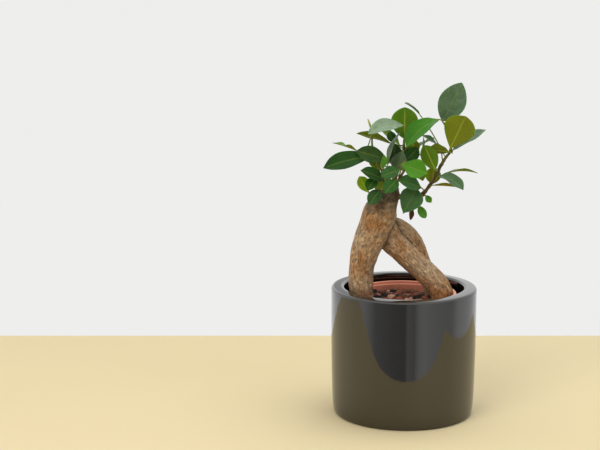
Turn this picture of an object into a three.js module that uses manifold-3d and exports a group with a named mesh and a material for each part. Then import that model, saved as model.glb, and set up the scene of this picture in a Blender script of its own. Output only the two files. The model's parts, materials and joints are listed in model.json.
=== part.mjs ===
// Ginseng fig bonsai in a plastic nursery pot, standing inside a glazed ceramic cover pot.
// Millimetres, +Z up. Origin: centre of the cover pot's underside.
import * as THREE from 'three';
import { mergeVertices } from 'three/addons/utils/BufferGeometryUtils.js';
import Module from 'manifold-3d';

const wasm = await Module();
wasm.setup();

// ---- driving dimensions -------------------------------------------------------------------
const POT_RADIUS = 75;
const POT_HEIGHT = 133.5;
const POT_FLOOR = 9;
const POT_WALL = 7;
const OPENING_RADIUS = 61.5;
const FOOT_RADIUS = 69.5;

const GAP = 0.3;                                      // clearance kept between touching pieces
const NURSERY_RADIUS = OPENING_RADIUS - 7.5;          // outer radius of the plastic pot's lip
const NURSERY_TOP = POT_HEIGHT - 6.5;                 // the lip sits below the ceramic rim
const NURSERY_BOTTOM = POT_FLOOR + GAP;
const NURSERY_WALL = 1.3;
const LIP_WIDTH = 3;
const LIP_DROP = 7;                                   // height of the lip's outside band
const LIP_STEP = 3.2;                                 // depth of the step inside the lip
const DRAIN_HOLES = 6;
const DRAIN_RADIUS = 4.5;

const SOIL_TOP = NURSERY_TOP - 10;
const SOIL_DEPTH = 62;
const LUMP_COUNT = 34;
const LUMP_RADIUS = 3.1;

const TREE_SCALE = (NURSERY_RADIUS - LIP_WIDTH) / 51; // the root spread fills the nursery pot

const LEAF_THICKNESS = 0.9;
const STALK_RADIUS = 0.75;

// ---- materials ----------------------------------------------------------------------------
const look = (color, roughness) => new THREE.MeshStandardMaterial({ color, roughness, metalness: 0 });
const black_glaze = look(0x17171a, 0.08);
const terracotta_plastic = look(0xa8503c, 0.5);
const soil = look(0x4e3426, 0.95);
const bark = look(0x84694e, 0.85);
const twig_bark = look(0x6f5230, 0.75);
const leaf_green = look(0x2f6b24, 0.35);
const leaf_young = look(0x5f9a1c, 0.35);
const leaf_dry = look(0x3b1f18, 0.7);
const bud_skin = look(0xb4b428, 0.5);

// ---- solid helpers ------------------------------------------------------------------------
const v3 = (x = 0, y = 0, z = 0) => new THREE.Vector3(x, y, z);
const degrees = (a) => a * Math.PI / 180;

// A repeatable pseudo-random sequence.
function randomSource(seed) {
  let state = seed;
  return () => {
    state = (state * 16807) % 2147483647;
    return state / 2147483647;
  };
}

// Turns every face round where they point inwards.
function facingOut(geometry) {
  if (volume(geometry) < 0) {
    const index = geometry.index.array;
    for (let i = 0; i < index.length; i += 3) [index[i], index[i + 1]] = [index[i + 1], index[i]];
  }
  return geometry;
}

// Closed body through a list of rings with equal point counts, capped at both ends.
function skin(rings, firstPole, lastPole) {
  const sides = rings[0].length;
  const points = rings.flat().concat([firstPole, lastPole]);
  const first = rings.length * sides;
  const index = [];
  for (let i = 0; i < rings.length - 1; i++) {
    for (let j = 0; j < sides; j++) {
      const a = i * sides + j;
      const b = i * sides + (j + 1) % sides;
      index.push(a, b, a + sides, b, b + sides, a + sides);
    }
  }
  for (let j = 0; j < sides; j++) {
    const k = (j + 1) % sides;
    index.push(first, k, j);
    index.push(first + 1, first - sides + j, first - sides + k);
  }
  const geometry = new THREE.BufferGeometry();
  geometry.setAttribute('position', new THREE.Float32BufferAttribute(points.flatMap((p) => p.toArray()), 3));
  geometry.setIndex(index);
  return facingOut(geometry);
}

function volume(geometry) {
  const position = geometry.getAttribute('position');
  const [a, b, c] = [v3(), v3(), v3()];
  let sum = 0;
  for (let i = 0; i < geometry.index.count; i += 3) {
    a.fromBufferAttribute(position, geometry.index.getX(i));
    b.fromBufferAttribute(position, geometry.index.getX(i + 1));
    c.fromBufferAttribute(position, geometry.index.getX(i + 2));
    sum += a.dot(b.cross(c)) / 6;
  }
  return sum;
}

function solid(geometry) {
  const bare = geometry.clone();
  bare.deleteAttribute('normal');
  bare.deleteAttribute('uv');
  const merged = mergeVertices(bare, 1e-4);
  return new wasm.Manifold(new wasm.Mesh({
    numProp: 3,
    vertProperties: new Float32Array(merged.getAttribute('position').array),
    triVerts: new Uint32Array(merged.index.array),
  }));
}

function geometryOf(manifold) {
  const mesh = manifold.getMesh();
  const geometry = new THREE.BufferGeometry();
  geometry.setAttribute('position', new THREE.BufferAttribute(mesh.vertProperties, 3));
  geometry.setIndex(new THREE.BufferAttribute(mesh.triVerts, 1));
  return geometry;
}

const root = new THREE.Group();

function addPiece(name, geometry, material, parent = root) {
  const flat = geometry.index ? geometry.toNonIndexed() : geometry;
  flat.computeVertexNormals();
  const mesh = new THREE.Mesh(flat, material);
  mesh.name = name;
  parent.add(mesh);
  return mesh;
}

// Solid of revolution about Z from a closed outline of [radius, height] points.
function turned(outline, segments) {
  const closed = outline.concat([outline[0]]).map(([r, z]) => new THREE.Vector2(r, z));
  const geometry = new THREE.LatheGeometry(closed, segments);
  geometry.rotateX(Math.PI / 2);
  return withoutSlivers(geometry);
}

// Shares the vertices and drops the empty triangles, such as a lathe's on its axis.
function withoutSlivers(geometry) {
  const bare = geometry.clone();
  bare.deleteAttribute('normal');
  bare.deleteAttribute('uv');
  const merged = mergeVertices(bare, 1e-4);
  const kept = [];
  const index = merged.index.array;
  for (let i = 0; i < index.length; i += 3) {
    const [a, b, c] = [index[i], index[i + 1], index[i + 2]];
    if (a !== b && b !== c && a !== c) kept.push(a, b, c);
  }
  merged.setIndex(kept);
  return facingOut(merged);
}

// Points of a quarter-round from angle a0 to a1 about (r, z).
function arc(r, z, radius, a0, a1, steps) {
  const points = [];
  for (let i = 0; i <= steps; i++) {
    const a = degrees(a0 + (a1 - a0) * i / steps);
    points.push([r + radius * Math.cos(a), z + radius * Math.sin(a)]);
  }
  return points;
}

// ---- cover pot ----------------------------------------------------------------------------
function coverPot() {
  const inner = POT_RADIUS - POT_WALL;
  const outline = [
    [0, 0],
    [FOOT_RADIUS - 1, 0],
    [FOOT_RADIUS + 1.5, 1.5],
    [POT_RADIUS - 2.4, 6],
    [POT_RADIUS - 1.6, 16],
    [POT_RADIUS - 0.7, 45],
    [POT_RADIUS, 100],
    ...arc(POT_RADIUS - 3, POT_HEIGHT - 3, 3, 0, 90, 3),
    ...arc(OPENING_RADIUS + 2, POT_HEIGHT - 2, 2, 90, 180, 2),
    [OPENING_RADIUS, POT_HEIGHT - 7],
    [OPENING_RADIUS + 2, POT_HEIGHT - 11],
    [inner - 0.5, POT_HEIGHT - 18],
    [inner, POT_HEIGHT - 30],
    [inner - 1, POT_FLOOR + 14],
    ...arc(inner - 11, POT_FLOOR + 10, 10, 0, -90, 2),
    [0, POT_FLOOR],
  ];
  return turned(outline, 48);
}

// ---- nursery pot --------------------------------------------------------------------------
const NURSERY_WALL_TOP = NURSERY_RADIUS - LIP_WIDTH + 0.2;   // outside radius just under the lip
const NURSERY_FOOT = NURSERY_WALL_TOP - 11;                  // outside radius at the bottom

// Outside radius of the tapered wall at a height.
function nurseryRadius(z) {
  const t = (z - NURSERY_BOTTOM) / (NURSERY_TOP - LIP_DROP - NURSERY_BOTTOM);
  return NURSERY_FOOT + (NURSERY_WALL_TOP - NURSERY_FOOT) * t;
}

function nurseryPot() {
  const floor = NURSERY_BOTTOM + 3;
  const lipFoot = NURSERY_TOP - LIP_DROP;
  const innerTop = NURSERY_RADIUS - LIP_WIDTH;
  const outline = [
    [0, floor - NURSERY_WALL],
    [NURSERY_FOOT - 7, floor - NURSERY_WALL],
    [NURSERY_FOOT - 5, NURSERY_BOTTOM],
    [NURSERY_FOOT, NURSERY_BOTTOM],
    [NURSERY_WALL_TOP, lipFoot],
    [NURSERY_RADIUS - 0.4, lipFoot + 0.2],
    [NURSERY_RADIUS, NURSERY_TOP - 1.2],
    [NURSERY_RADIUS - 0.9, NURSERY_TOP],
    [innerTop + 0.9, NURSERY_TOP],
    [innerTop, NURSERY_TOP - 1],
    [innerTop - 0.1, NURSERY_TOP - 0.75 * LIP_STEP],
    [nurseryRadius(NURSERY_TOP - LIP_STEP) - NURSERY_WALL, NURSERY_TOP - LIP_STEP],
    [nurseryRadius(floor + 2) - NURSERY_WALL, floor + 2],
    [nurseryRadius(floor) - NURSERY_WALL - 2, floor],
    [0, floor],
  ];
  let pot = solid(turned(outline, 44));
  for (let i = 0; i < DRAIN_HOLES; i++) {
    const angle = 2 * Math.PI * (i + 0.5) / DRAIN_HOLES;
    const hole = new THREE.CylinderGeometry(DRAIN_RADIUS, DRAIN_RADIUS, 12, 12);
    hole.rotateX(Math.PI / 2);
    const reach = NURSERY_FOOT * 0.58;
    hole.translate(reach * Math.cos(angle), reach * Math.sin(angle), NURSERY_BOTTOM + 2);
    pot = pot.subtract(solid(hole));
  }
  return geometryOf(pot);
}

// ---- limbs: trunk legs and shoots ---------------------------------------------------------
// A limb follows points [x, y, z, radius], measured from the pot's axis at the soil surface.
class Limb {
  constructor(points, sides, steps, bump = 0, phase = 0) {
    this.radii = points.map((p) => p[3] * TREE_SCALE);
    this.curve = new THREE.CatmullRomCurve3(points.map((p) => v3(p[0], p[1], p[2]).multiplyScalar(TREE_SCALE)));
    this.sides = sides;
    this.steps = steps;
    this.bump = bump;
    this.phase = phase;
  }

  point(u) {
    return this.curve.getPointAt(u);
  }

  tangent(u) {
    return this.curve.getTangentAt(u);
  }

  radius(u) {
    const place = this.curve.getUtoTmapping(u) * (this.radii.length - 1);
    const k = Math.min(Math.floor(place), this.radii.length - 2);
    const f = place - k;
    const eased = f * f * (3 - 2 * f);
    return this.radii[k] + (this.radii[k + 1] - this.radii[k]) * eased;
  }

  // Lumpy swellings of a grown surface: a few waves around and along.
  swell(angle, u) {
    const p = this.phase;
    return 1 + this.bump * (Math.sin(2 * angle + 7 * u + p) + 0.6 * Math.sin(3 * angle - 11 * u + 2 * p)
      + 0.5 * Math.sin(5 * angle + 17 * u + 3 * p));
  }

  // Closed body, grown outwards by `extra`, with round ends.
  geometry(extra = 0) {
    const frames = this.curve.computeFrenetFrames(this.steps);
    const rings = [];
    const ring = (k, shift, shrink) => {
      const u = k / this.steps;
      const centre = this.point(u).addScaledVector(frames.tangents[k], shift);
      const points = [];
      for (let j = 0; j < this.sides; j++) {
        const angle = 2 * Math.PI * j / this.sides;
        const reach = (this.radius(u) * this.swell(angle, u) + extra) * shrink;
        points.push(centre.clone()
          .addScaledVector(frames.normals[k], reach * Math.cos(angle))
          .addScaledVector(frames.binormals[k], reach * Math.sin(angle)));
      }
      return points;
    };
    const startRound = this.radius(0) * 0.7 + extra;
    const endRound = this.radius(1) * 0.7 + extra;
    rings.push(ring(0, -startRound * 0.7, 0.7));
    for (let k = 0; k <= this.steps; k++) rings.push(ring(k, 0, 1));
    rings.push(ring(this.steps, endRound * 0.7, 0.7));
    const firstPole = this.point(0).addScaledVector(frames.tangents[0], -startRound);
    const lastPole = this.point(1).addScaledVector(frames.tangents[this.steps], endRound);
    return skin(rings, firstPole, lastPole);
  }
}

const legs = [
  // left main leg, from the graft down into the soil
  new Limb([
    [-14.5, 2, 117, 8.6], [-15, 1, 109, 9.8], [-19.5, 0, 103, 14], [-24, 0, 95.5, 17.2],
    [-27.5, -1, 87.5, 17.6],
    [-31.5, -3, 75, 16.9], [-39.5, -7, 55, 14.9], [-44, -11, 34, 13.2], [-44, -13.5, 21, 13],
    [-43.4, -13.5, 15, 12.4], [-41.5, -12.5, 9, 10.8], [-39, -12.5, 2, 9.6], [-36, -12, -10, 8.5],
    [-34, -12, -24, 5.5],
  ], 20, 26, 0.022, 0.4),
  // right front leg
  new Limb([
    [-19.5, 6, 76, 13.5], [-13, 5, 62.5, 13], [-2.5, 2, 52.5, 12], [10, -1, 42, 12], [22.5, -4, 31, 12],
    [32.8, -6, 21, 12.4], [38.8, -7, 12, 12.4], [39.6, -7, 5, 11.7], [37, -7, -8, 9], [34, -6, -23, 6],
  ], 16, 18, 0.02, 2.1),
  // back leg, arching out behind
  new Limb([
    [-13.5, 8, 80, 8], [-3, 12, 74, 8.6], [7.5, 16, 64, 8.7], [14.5, 19, 50.5, 8.7], [18.5, 21, 38.5, 8.6],
    [24.5, 21.5, 23.5, 8.5], [29, 20, 8, 8.3], [29.5, 20, -8, 7], [28, 19, -20, 5],
  ], 12, 14, 0.025, 4.2),
];

function legsJoined(extra = 0) {
  return legs.map((leg) => solid(leg.geometry(extra))).reduce((a, b) => a.add(b));
}

// The left leg swells out over the plastic lip, which presses a notch into its foot.
function trunk() {
  const lipTop = NURSERY_TOP + GAP - SOIL_TOP;
  const low = -12;
  const outside = NURSERY_RADIUS + 8;
  const notch = [
    [NURSERY_RADIUS - LIP_WIDTH - GAP, lipTop],
    [nurseryRadius(NURSERY_TOP - LIP_STEP) - NURSERY_WALL - GAP, lipTop - 0.75 * LIP_STEP],
    [nurseryRadius(SOIL_TOP + low) - NURSERY_WALL - GAP, low],
    [outside, low],
    [outside, lipTop],
  ];
  return legsJoined().subtract(solid(turned(notch, 44)));
}

// ---- potting mix --------------------------------------------------------------------------
// Height of the bed over a place: higher beside the left leg, lower at the back right.
function bedHeight(x, y) {
  const heap = 2.2 * Math.exp(-((x + 14) ** 2 + (y + 6) ** 2) / 500);
  return heap - 1.6 * Math.exp(-((x - 14) ** 2 + (y - 34) ** 2) / 600);
}

function pottingMix() {
  const wallGap = NURSERY_WALL + GAP + 0.1;
  const topRadius = nurseryRadius(SOIL_TOP) - wallGap;
  const bottomRadius = nurseryRadius(SOIL_TOP - SOIL_DEPTH) - wallGap;
  const sides = 32;
  const circle = (radius, height) => {
    const points = [];
    for (let j = 0; j < sides; j++) {
      const angle = 2 * Math.PI * j / sides;
      const [x, y] = [radius * Math.cos(angle), radius * Math.sin(angle)];
      points.push(v3(x, y, height ?? bedHeight(x, y)));
    }
    return points;
  };
  const rings = [circle(bottomRadius, -SOIL_DEPTH)];
  for (const share of [1, 0.78, 0.5, 0.25]) rings.push(circle(topRadius * share));
  let mix = solid(skin(rings, v3(0, 0, -SOIL_DEPTH), v3(0, 0, bedHeight(0, 0))));
  const random = randomSource(11);
  for (let i = 0; i < LUMP_COUNT; i++) {
    const reach = (topRadius - LUMP_RADIUS * 1.7) * Math.sqrt((i + 0.5) / LUMP_COUNT);
    const angle = i * 2.39996 + random() * 0.5;
    const size = LUMP_RADIUS * (0.7 + 0.6 * random());
    const lump = new THREE.IcosahedronGeometry(size, 0);
    lump.rotateX(random() * 3);
    lump.rotateZ(random() * 3);
    lump.scale(1.15, 0.95, 0.8);
    const [x, y] = [reach * Math.cos(angle), reach * Math.sin(angle)];
    lump.translate(x, y, bedHeight(x, y) + size * 0.15);
    mix = mix.add(solid(withoutSlivers(lump)));
  }
  return geometryOf(mix.subtract(legsJoined(GAP)));
}

// ---- shoots -------------------------------------------------------------------------------
// Each shoot leaves the graft on top of the trunk, and the low twig leaves the right shoot.
const shoots = {
  right: new Limb([
    [-8, -2, 111, 3.3], [4, -4, 108.5, 2.7], [16, -5, 112, 2.2], [25.5, -4, 123, 1.9], [31, -3, 132, 1.7],
    [36.5, -2, 144, 1.6], [41, -2, 151, 1.5], [45.5, -1, 158, 1.4], [43.5, 0, 172.5, 1.2], [39, 1, 186, 1],
  ], 7, 18),
  left: new Limb([
    [-17, 0, 117, 3], [-22, -2, 131, 2.2], [-25, -3, 142.5, 2], [-30, -3, 152, 1.6], [-33.5, -2, 160, 1.3],
    [-34.5, -1, 174, 1], [-36, -1, 180, 0.9],
  ], 7, 12),
  centre: new Limb([
    [-12, 3, 118, 3], [-9.5, 4, 131, 2.5], [-6, 7, 141, 2], [-2.5, 10, 152, 1.7], [-1.5, 14, 165, 1.3],
    [-0.5, 16, 171, 1.1],
  ], 7, 9),
  back: new Limb([
    [-14, 8, 114, 2.8], [-11, 15, 127, 2.2], [-6, 24, 139, 1.8], [0, 32, 151, 1.4], [2, 36, 162, 1.1],
  ], 7, 9),
  front: new Limb([
    [-14, -5, 114, 2.6], [-10, -10, 123, 2], [-5, -14, 132, 1.6], [0, -16, 141, 1.2],
  ], 7, 7),
  low: new Limb([
    [5, -5.5, 106.5, 1.1], [9, -8, 104, 0.9], [12, -9, 100.5, 0.8],
  ], 6, 5),
};

// ---- leaves -------------------------------------------------------------------------------
// on/at: the shoot and the share of its length where the stalk starts.
// stalk: from there to the foot of the blade. blade: from the foot to the tip (mm).
// face: compass bearing and elevation of the upper side. arch: bend along the blade (degrees).
const leaves = [
  // left shoot
  { on: 'left', at: 0.60, stalk: [-4, 1.9, -3.1], blade: [-48, -11.8, -10.9],
    face: [270, 45], width: 22, arch: 25 },
  { on: 'left', at: 0.62, stalk: [12, -3.3, -6.1], blade: [-30, -0.7, 8.1],
    face: [260, 15], width: 18, arch: 15 },
  { on: 'left', at: 0.85, stalk: [-14, 13, -16], blade: [-27, 4, 8], face: [80, 62], width: 15, arch: 10 },
  { on: 'left', at: 0.45, stalk: [8.5, -10.3, -1.5], blade: [12.5, 12.6, 32.5],
    face: [195, 10], width: 17, arch: 25 },
  { on: 'left', at: 0.35, stalk: [-3, 4, -4], blade: [-6, 2, 20], face: [90, 10], width: 16, arch: 15 },
  { on: 'left', at: 0.43, stalk: [3.5, -13.4, -3], blade: [0.5, -0.9, 14],
    face: [300, 0], width: 8, arch: 10, young: 1 },
  { on: 'left', at: 0.22, stalk: [1, -10.4, -2], blade: [-24, -10.9, 11], face: [270, 45], width: 17, arch: 15 },
  { on: 'left', at: 0.15, stalk: [-17, -7, -11], blade: [-9, -6, 17],
    face: [90, 0], width: 13, arch: 20, young: 1 },
  { on: 'left', at: 0.22, stalk: [-8, -10.7, 0], blade: [-8, -12.2, -11], face: [270, 40], width: 13, arch: 20 },
  // front shoot
  { on: 'front', at: 0.20, stalk: [-13, -10, 0], blade: [-11, -14, -13],
    face: [270, 40], width: 15, arch: 25 },
  { on: 'front', at: 0.40, stalk: [1, -12.6, 6], blade: [-12, -18.5, -11], face: [270, 40], width: 16, arch: 25 },
  { on: 'front', at: 0.95, stalk: [-3, -5, 6.5], blade: [26, -14, -7],
    face: [270, 20], width: 21, arch: 20, young: 1 },
  { on: 'front', at: 0.70, stalk: [-1, -4, 7], blade: [-19, -4, -6], face: [270, 35], width: 15, arch: 20 },
  // centre shoot
  { on: 'centre', at: 0.80, stalk: [-1.1, -13.5, 22.6], blade: [-34.9, -11.8, -7.6],
    face: [270, 60], width: 21, arch: 50 },
  { on: 'centre', at: 0.90, stalk: [0.3, -4, 2.4], blade: [-0.3, 3, 31.6],
    face: [90, 0], width: 29, arch: 15 },
  { on: 'centre', at: 0.75, stalk: [8, -6, -7], blade: [2, 1, 18], face: [90, 0], width: 15, arch: 10 },
  { on: 'centre', at: 0.70, stalk: [18, 3, -3], blade: [2, 4, 17], face: [0, 10], width: 12, arch: 15 },
  { on: 'centre', at: 0.45, stalk: [4.3, -4.9, 2.6], blade: [14.7, 3.7, 14.4],
    face: [270, 20], width: 16, arch: 15 },
  { on: 'centre', at: 0.60, stalk: [0.3, -9.8, 6.7], blade: [-6.3, 1.6, -20.7],
    face: [270, 30], width: 18, arch: 25 },
  { on: 'centre', at: 0.39, stalk: [-4.5, -4.6, 1.3], blade: [0.5, 1.7, 23.7],
    face: [270, 0], width: 17, arch: 10 },
  { on: 'centre', at: 0.65, stalk: [-13, -1, 11], blade: [-35, 4, 9], face: [90, 57], width: 17, arch: 15 },
  { on: 'centre', at: 0.80, stalk: [-11, 2, 3], blade: [-4, 2, 11],
    face: [270, 20], width: 10, arch: 10, young: 1 },
  // right shoot
  { on: 'right', at: 0.66, stalk: [-27, 4, 42], blade: [-16, -7, 13], face: [0, 50], width: 14, arch: 25 },
  { on: 'right', at: 0.98, stalk: [-7, -7, 6], blade: [-32, -16, -27], face: [235, 50], width: 25, arch: 60 },
  { on: 'right', at: 1.00, stalk: [-2, 2, 1], blade: [19, 7, 38.5], face: [270, 10], width: 29, arch: 10 },
  { on: 'right', at: 0.74, stalk: [-0.6, -7.1, 2.4], blade: [14.6, -8.9, 33.6],
    face: [90, 0], width: 33, arch: 15 },
  { on: 'right', at: 0.72, stalk: [3, 1, 2], blade: [33, 4, 20], face: [270, 68], width: 18, arch: 15 },
  { on: 'right', at: 0.71, stalk: [-1, -7.5, 2], blade: [-23, -1.5, 0], face: [90, 40], width: 16, arch: 35 },
  { on: 'right', at: 0.52, stalk: [-4, -9, 2], blade: [-11, -5, 25], face: [90, 0], width: 18, arch: 15 },
  { on: 'right', at: 0.62, stalk: [-7, 10, 15], blade: [-16, 2, 9], face: [270, 78], width: 12, arch: 15 },
  { on: 'right', at: 0.28, stalk: [-4, -8, 5.5], blade: [-23, -9, 8.5],
    face: [270, 42], width: 20, arch: 20 },
  { on: 'right', at: 0.17, stalk: [2, -5, 10], blade: [-14, -10, -24], face: [270, 15], width: 25, arch: 20 },
  { on: 'right', at: 0.46, stalk: [3, 2, -1], blade: [40, 4, 3], face: [90, 81], width: 15, arch: 45 },
  { on: 'right', at: 0.44, stalk: [4, -3, 2], blade: [24.5, -12, -12], face: [300, 55], width: 19, arch: 60 },
  { on: 'right', at: 0.35, stalk: [2, -3, 1], blade: [28, 2, -2], face: [90, 70], width: 13, arch: 10 },
  { on: 'right', at: 0.36, stalk: [2, 6, 0], blade: [2, 5, 17], face: [90, 0], width: 17, arch: 15 },
  { on: 'right', at: 0.25, stalk: [3, -2, -1], blade: [6, -2, -7],
    face: [270, 10], width: 7, arch: 10, young: 1 },
  { on: 'right', at: 0.56, stalk: [1, 5.3, -2], blade: [4, 0.7, 12], face: [0, 0], width: 9, arch: 15 },
  // low twig
  { on: 'low', at: 0.85, stalk: [3, -1, 0], blade: [7, -2, -12],
    face: [270, 0], width: 9, arch: 10, young: 1 },
  { on: 'low', at: 0.80, stalk: [-4, -1, -1], blade: [-1, -1, -14],
    face: [300, 0], width: 6, arch: 25, dry: 1 },
  // back shoot
  { on: 'back', at: 1.00, stalk: [0, 2, 1], blade: [-3, 14, 23], face: [90, 30], width: 22, arch: 20 },
  { on: 'back', at: 0.85, stalk: [-6, 3, 2], blade: [-22, 14, 16], face: [100, 50], width: 21, arch: 20 },
  { on: 'back', at: 0.80, stalk: [6, 4, -1], blade: [24, 18, 12], face: [60, 55], width: 22, arch: 20 },
  { on: 'back', at: 0.55, stalk: [-4, 7, -2], blade: [-16, 28, -6], face: [110, 60], width: 22, arch: 30 },
  { on: 'back', at: 0.45, stalk: [6, 5, -3], blade: [20, 20, -14], face: [60, 45], width: 22, arch: 30 },
  { on: 'back', at: 0.25, stalk: [-5, 6, 0], blade: [-12, 16, -20], face: [120, 30], width: 19, arch: 25 },
];

// Direction of a compass bearing (0 = +X, 90 = +Y) and an elevation.
function bearing([azimuth, elevation]) {
  const [a, e] = [degrees(azimuth), degrees(elevation)];
  return v3(Math.cos(a) * Math.cos(e), Math.sin(a) * Math.cos(e), Math.sin(e));
}

// Half the blade's width at a share of its length: widest past the middle, pointed tip.
function bladeHalfWidth(share, width) {
  return 0.5 * width * Math.sin(Math.PI * share ** 1.08) ** 0.75;
}

const BLADE_SHARES = [0, 0.08, 0.2, 0.36, 0.54, 0.72, 0.87, 0.96, 1];
const FOLD = degrees(14);                             // each half of the blade rises from the midrib

function leafGeometry(leaf) {
  const shoot = shoots[leaf.on];
  const axis = shoot.point(leaf.at);
  const along = shoot.tangent(leaf.at);
  const stalk = v3(...leaf.stalk).multiplyScalar(TREE_SCALE);
  const blade = v3(...leaf.blade).multiplyScalar(TREE_SCALE);
  const foot = axis.clone().add(stalk);
  const length = blade.length();
  const chord = blade.clone().normalize();
  const up = bearing(leaf.face);
  up.addScaledVector(chord, -up.dot(chord)).normalize();
  const side = chord.clone().cross(up);

  // the stalk starts just clear of the shoot, on the side it leaves from
  const leaving = stalk.clone().normalize();
  const lean = leaving.dot(along);
  const outward = leaving.clone().addScaledVector(along, -lean);
  if (outward.length() < 0.3) outward.copy(side);
  outward.normalize();
  const clear = shoot.radius(leaf.at) + GAP + STALK_RADIUS * Math.abs(lean);
  const start = axis.clone().addScaledVector(outward, clear);

  const bend = degrees(leaf.arch);
  const radius = length / (2 * Math.sin(bend / 2));
  const rings = [];
  const section = (centre, normal, across, half, rise, thick) => {
    const edge = (sign) => centre.clone().addScaledVector(across, sign * half * Math.cos(rise))
      .addScaledVector(normal, half * Math.sin(rise));
    const shifted = (point, by) => point.clone().addScaledVector(normal, by);
    rings.push([
      shifted(edge(-1), thick * 0.3), shifted(centre, thick * 0.5), shifted(edge(1), thick * 0.3),
      shifted(edge(1), -thick * 0.3), shifted(centre, -thick * 0.6), shifted(edge(-1), -thick * 0.3),
    ]);
  };
  const bladeAt = (share) => {
    const turn = bend * (share - 0.5);
    return {
      centre: foot.clone().addScaledVector(chord, radius * Math.sin(turn) + length / 2)
        .addScaledVector(up, radius * (Math.cos(turn) - Math.cos(bend / 2))),
      normal: up.clone().multiplyScalar(Math.cos(turn)).addScaledVector(chord, Math.sin(turn)),
      tangent: chord.clone().multiplyScalar(Math.cos(turn)).addScaledVector(up, -Math.sin(turn)),
    };
  };

  const first = bladeAt(0);
  const reach = foot.distanceTo(start);
  const knee = foot.clone().addScaledVector(first.tangent, -0.4 * reach);
  const path = new THREE.QuadraticBezierCurve3(start, knee, foot);
  const stalkSteps = Math.max(2, Math.round(reach / 9));
  for (let k = 0; k < stalkSteps; k++) {
    const tangent = path.getTangent(k / stalkSteps);
    const across = side.clone().addScaledVector(tangent, -side.dot(tangent)).normalize();
    const normal = across.clone().cross(tangent);
    section(path.getPoint(k / stalkSteps), normal, across, STALK_RADIUS, 0, STALK_RADIUS * 1.6);
  }
  for (const share of BLADE_SHARES) {
    const { centre, normal } = bladeAt(share);
    const smallest = share < 0.5 ? STALK_RADIUS : 0.35;
    const half = Math.max(bladeHalfWidth(share, leaf.width * TREE_SCALE), smallest);
    const thick = share < 0.05 ? STALK_RADIUS * 1.6 : LEAF_THICKNESS * (1.1 - 0.5 * share);
    section(centre, normal, side, half, FOLD * Math.min(1, share * 6), thick);
  }
  const middle = (ring) => ring.reduce((sum, p) => sum.add(p), v3(0, 0, 0)).divideScalar(ring.length);
  return skin(rings, middle(rings[0]), middle(rings[rings.length - 1]));
}

// ---- buds ---------------------------------------------------------------------------------
const buds = {
  bud_left: new Limb([[-36.1, -1, 181.6, 0.8], [-37, -1, 185, 1.1], [-38.5, -1, 189, 0.5]], 6, 5),
  bud_front: new Limb([[-0.5, -16.4, 143.2, 1], [-1.2, -17.5, 146, 1.3], [-2, -18.5, 149, 0.5]], 6, 5),
  bud_centre: new Limb([[-0.2, 16.6, 173.2, 0.8], [0.3, 17.2, 176, 1.1], [0.6, 17.6, 179, 0.5]], 6, 5),
};

// ---- assembly -----------------------------------------------------------------------------
const tree = new THREE.Group();
tree.position.z = SOIL_TOP;
root.add(tree);

addPiece('cover_pot', coverPot(), black_glaze);
addPiece('nursery_pot', nurseryPot(), terracotta_plastic);
addPiece('potting_mix', pottingMix(), soil, tree);
addPiece('trunk', geometryOf(trunk()), bark, tree);

const carriers = { low: () => solid(shoots.right.geometry(GAP)) };
for (const [name, shoot] of Object.entries(shoots)) {
  const carrier = carriers[name]?.() ?? legsJoined(GAP);
  addPiece(`shoot_${name}`, geometryOf(solid(shoot.geometry()).subtract(carrier)), twig_bark, tree);
}
for (const [name, bud] of Object.entries(buds)) addPiece(name, bud.geometry(), bud_skin, tree);

const counts = {};
for (const leaf of leaves) {
  counts[leaf.on] = (counts[leaf.on] ?? 0) + 1;
  const name = `leaf_${leaf.on}_${String(counts[leaf.on]).padStart(2, '0')}`;
  const material = leaf.dry ? leaf_dry : leaf.young ? leaf_young : leaf_green;
  addPiece(name, leafGeometry(leaf), material, tree);
}

export default root;
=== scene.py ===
import json
import math
import random

import bmesh
import bpy
import numpy as np
from mathutils import Matrix, Vector, noise

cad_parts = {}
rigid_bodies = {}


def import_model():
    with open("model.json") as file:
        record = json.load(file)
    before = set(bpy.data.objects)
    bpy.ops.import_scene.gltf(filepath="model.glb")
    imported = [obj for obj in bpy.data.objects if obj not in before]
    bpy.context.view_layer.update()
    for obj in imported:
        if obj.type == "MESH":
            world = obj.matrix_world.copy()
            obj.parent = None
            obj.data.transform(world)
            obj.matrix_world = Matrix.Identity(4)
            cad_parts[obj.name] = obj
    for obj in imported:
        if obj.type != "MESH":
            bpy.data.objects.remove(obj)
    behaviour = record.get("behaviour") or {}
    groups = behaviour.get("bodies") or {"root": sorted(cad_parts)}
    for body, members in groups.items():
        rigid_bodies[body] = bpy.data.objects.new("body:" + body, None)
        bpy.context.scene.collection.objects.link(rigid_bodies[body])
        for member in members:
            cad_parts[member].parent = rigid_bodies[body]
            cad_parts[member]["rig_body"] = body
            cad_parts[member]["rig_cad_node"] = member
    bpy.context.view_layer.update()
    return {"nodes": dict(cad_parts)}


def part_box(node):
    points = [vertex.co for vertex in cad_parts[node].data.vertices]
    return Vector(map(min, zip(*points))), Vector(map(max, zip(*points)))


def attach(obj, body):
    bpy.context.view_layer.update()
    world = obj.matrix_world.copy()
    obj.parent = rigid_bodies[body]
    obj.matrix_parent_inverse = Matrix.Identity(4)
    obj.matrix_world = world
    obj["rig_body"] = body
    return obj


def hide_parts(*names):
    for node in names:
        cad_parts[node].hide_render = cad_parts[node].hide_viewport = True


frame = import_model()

CAD = frame["nodes"]

bl_info = {
    "name": "Potted ginseng fig",
    "version": (1, 0, 0),
    "blender": (4, 5, 0),
    "location": "3D View > Sidebar > Bonsai",
    "description": "Builds a ginseng fig bonsai in a glazed cover pot around its fixed frame",
    "category": "Object",
}

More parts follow.
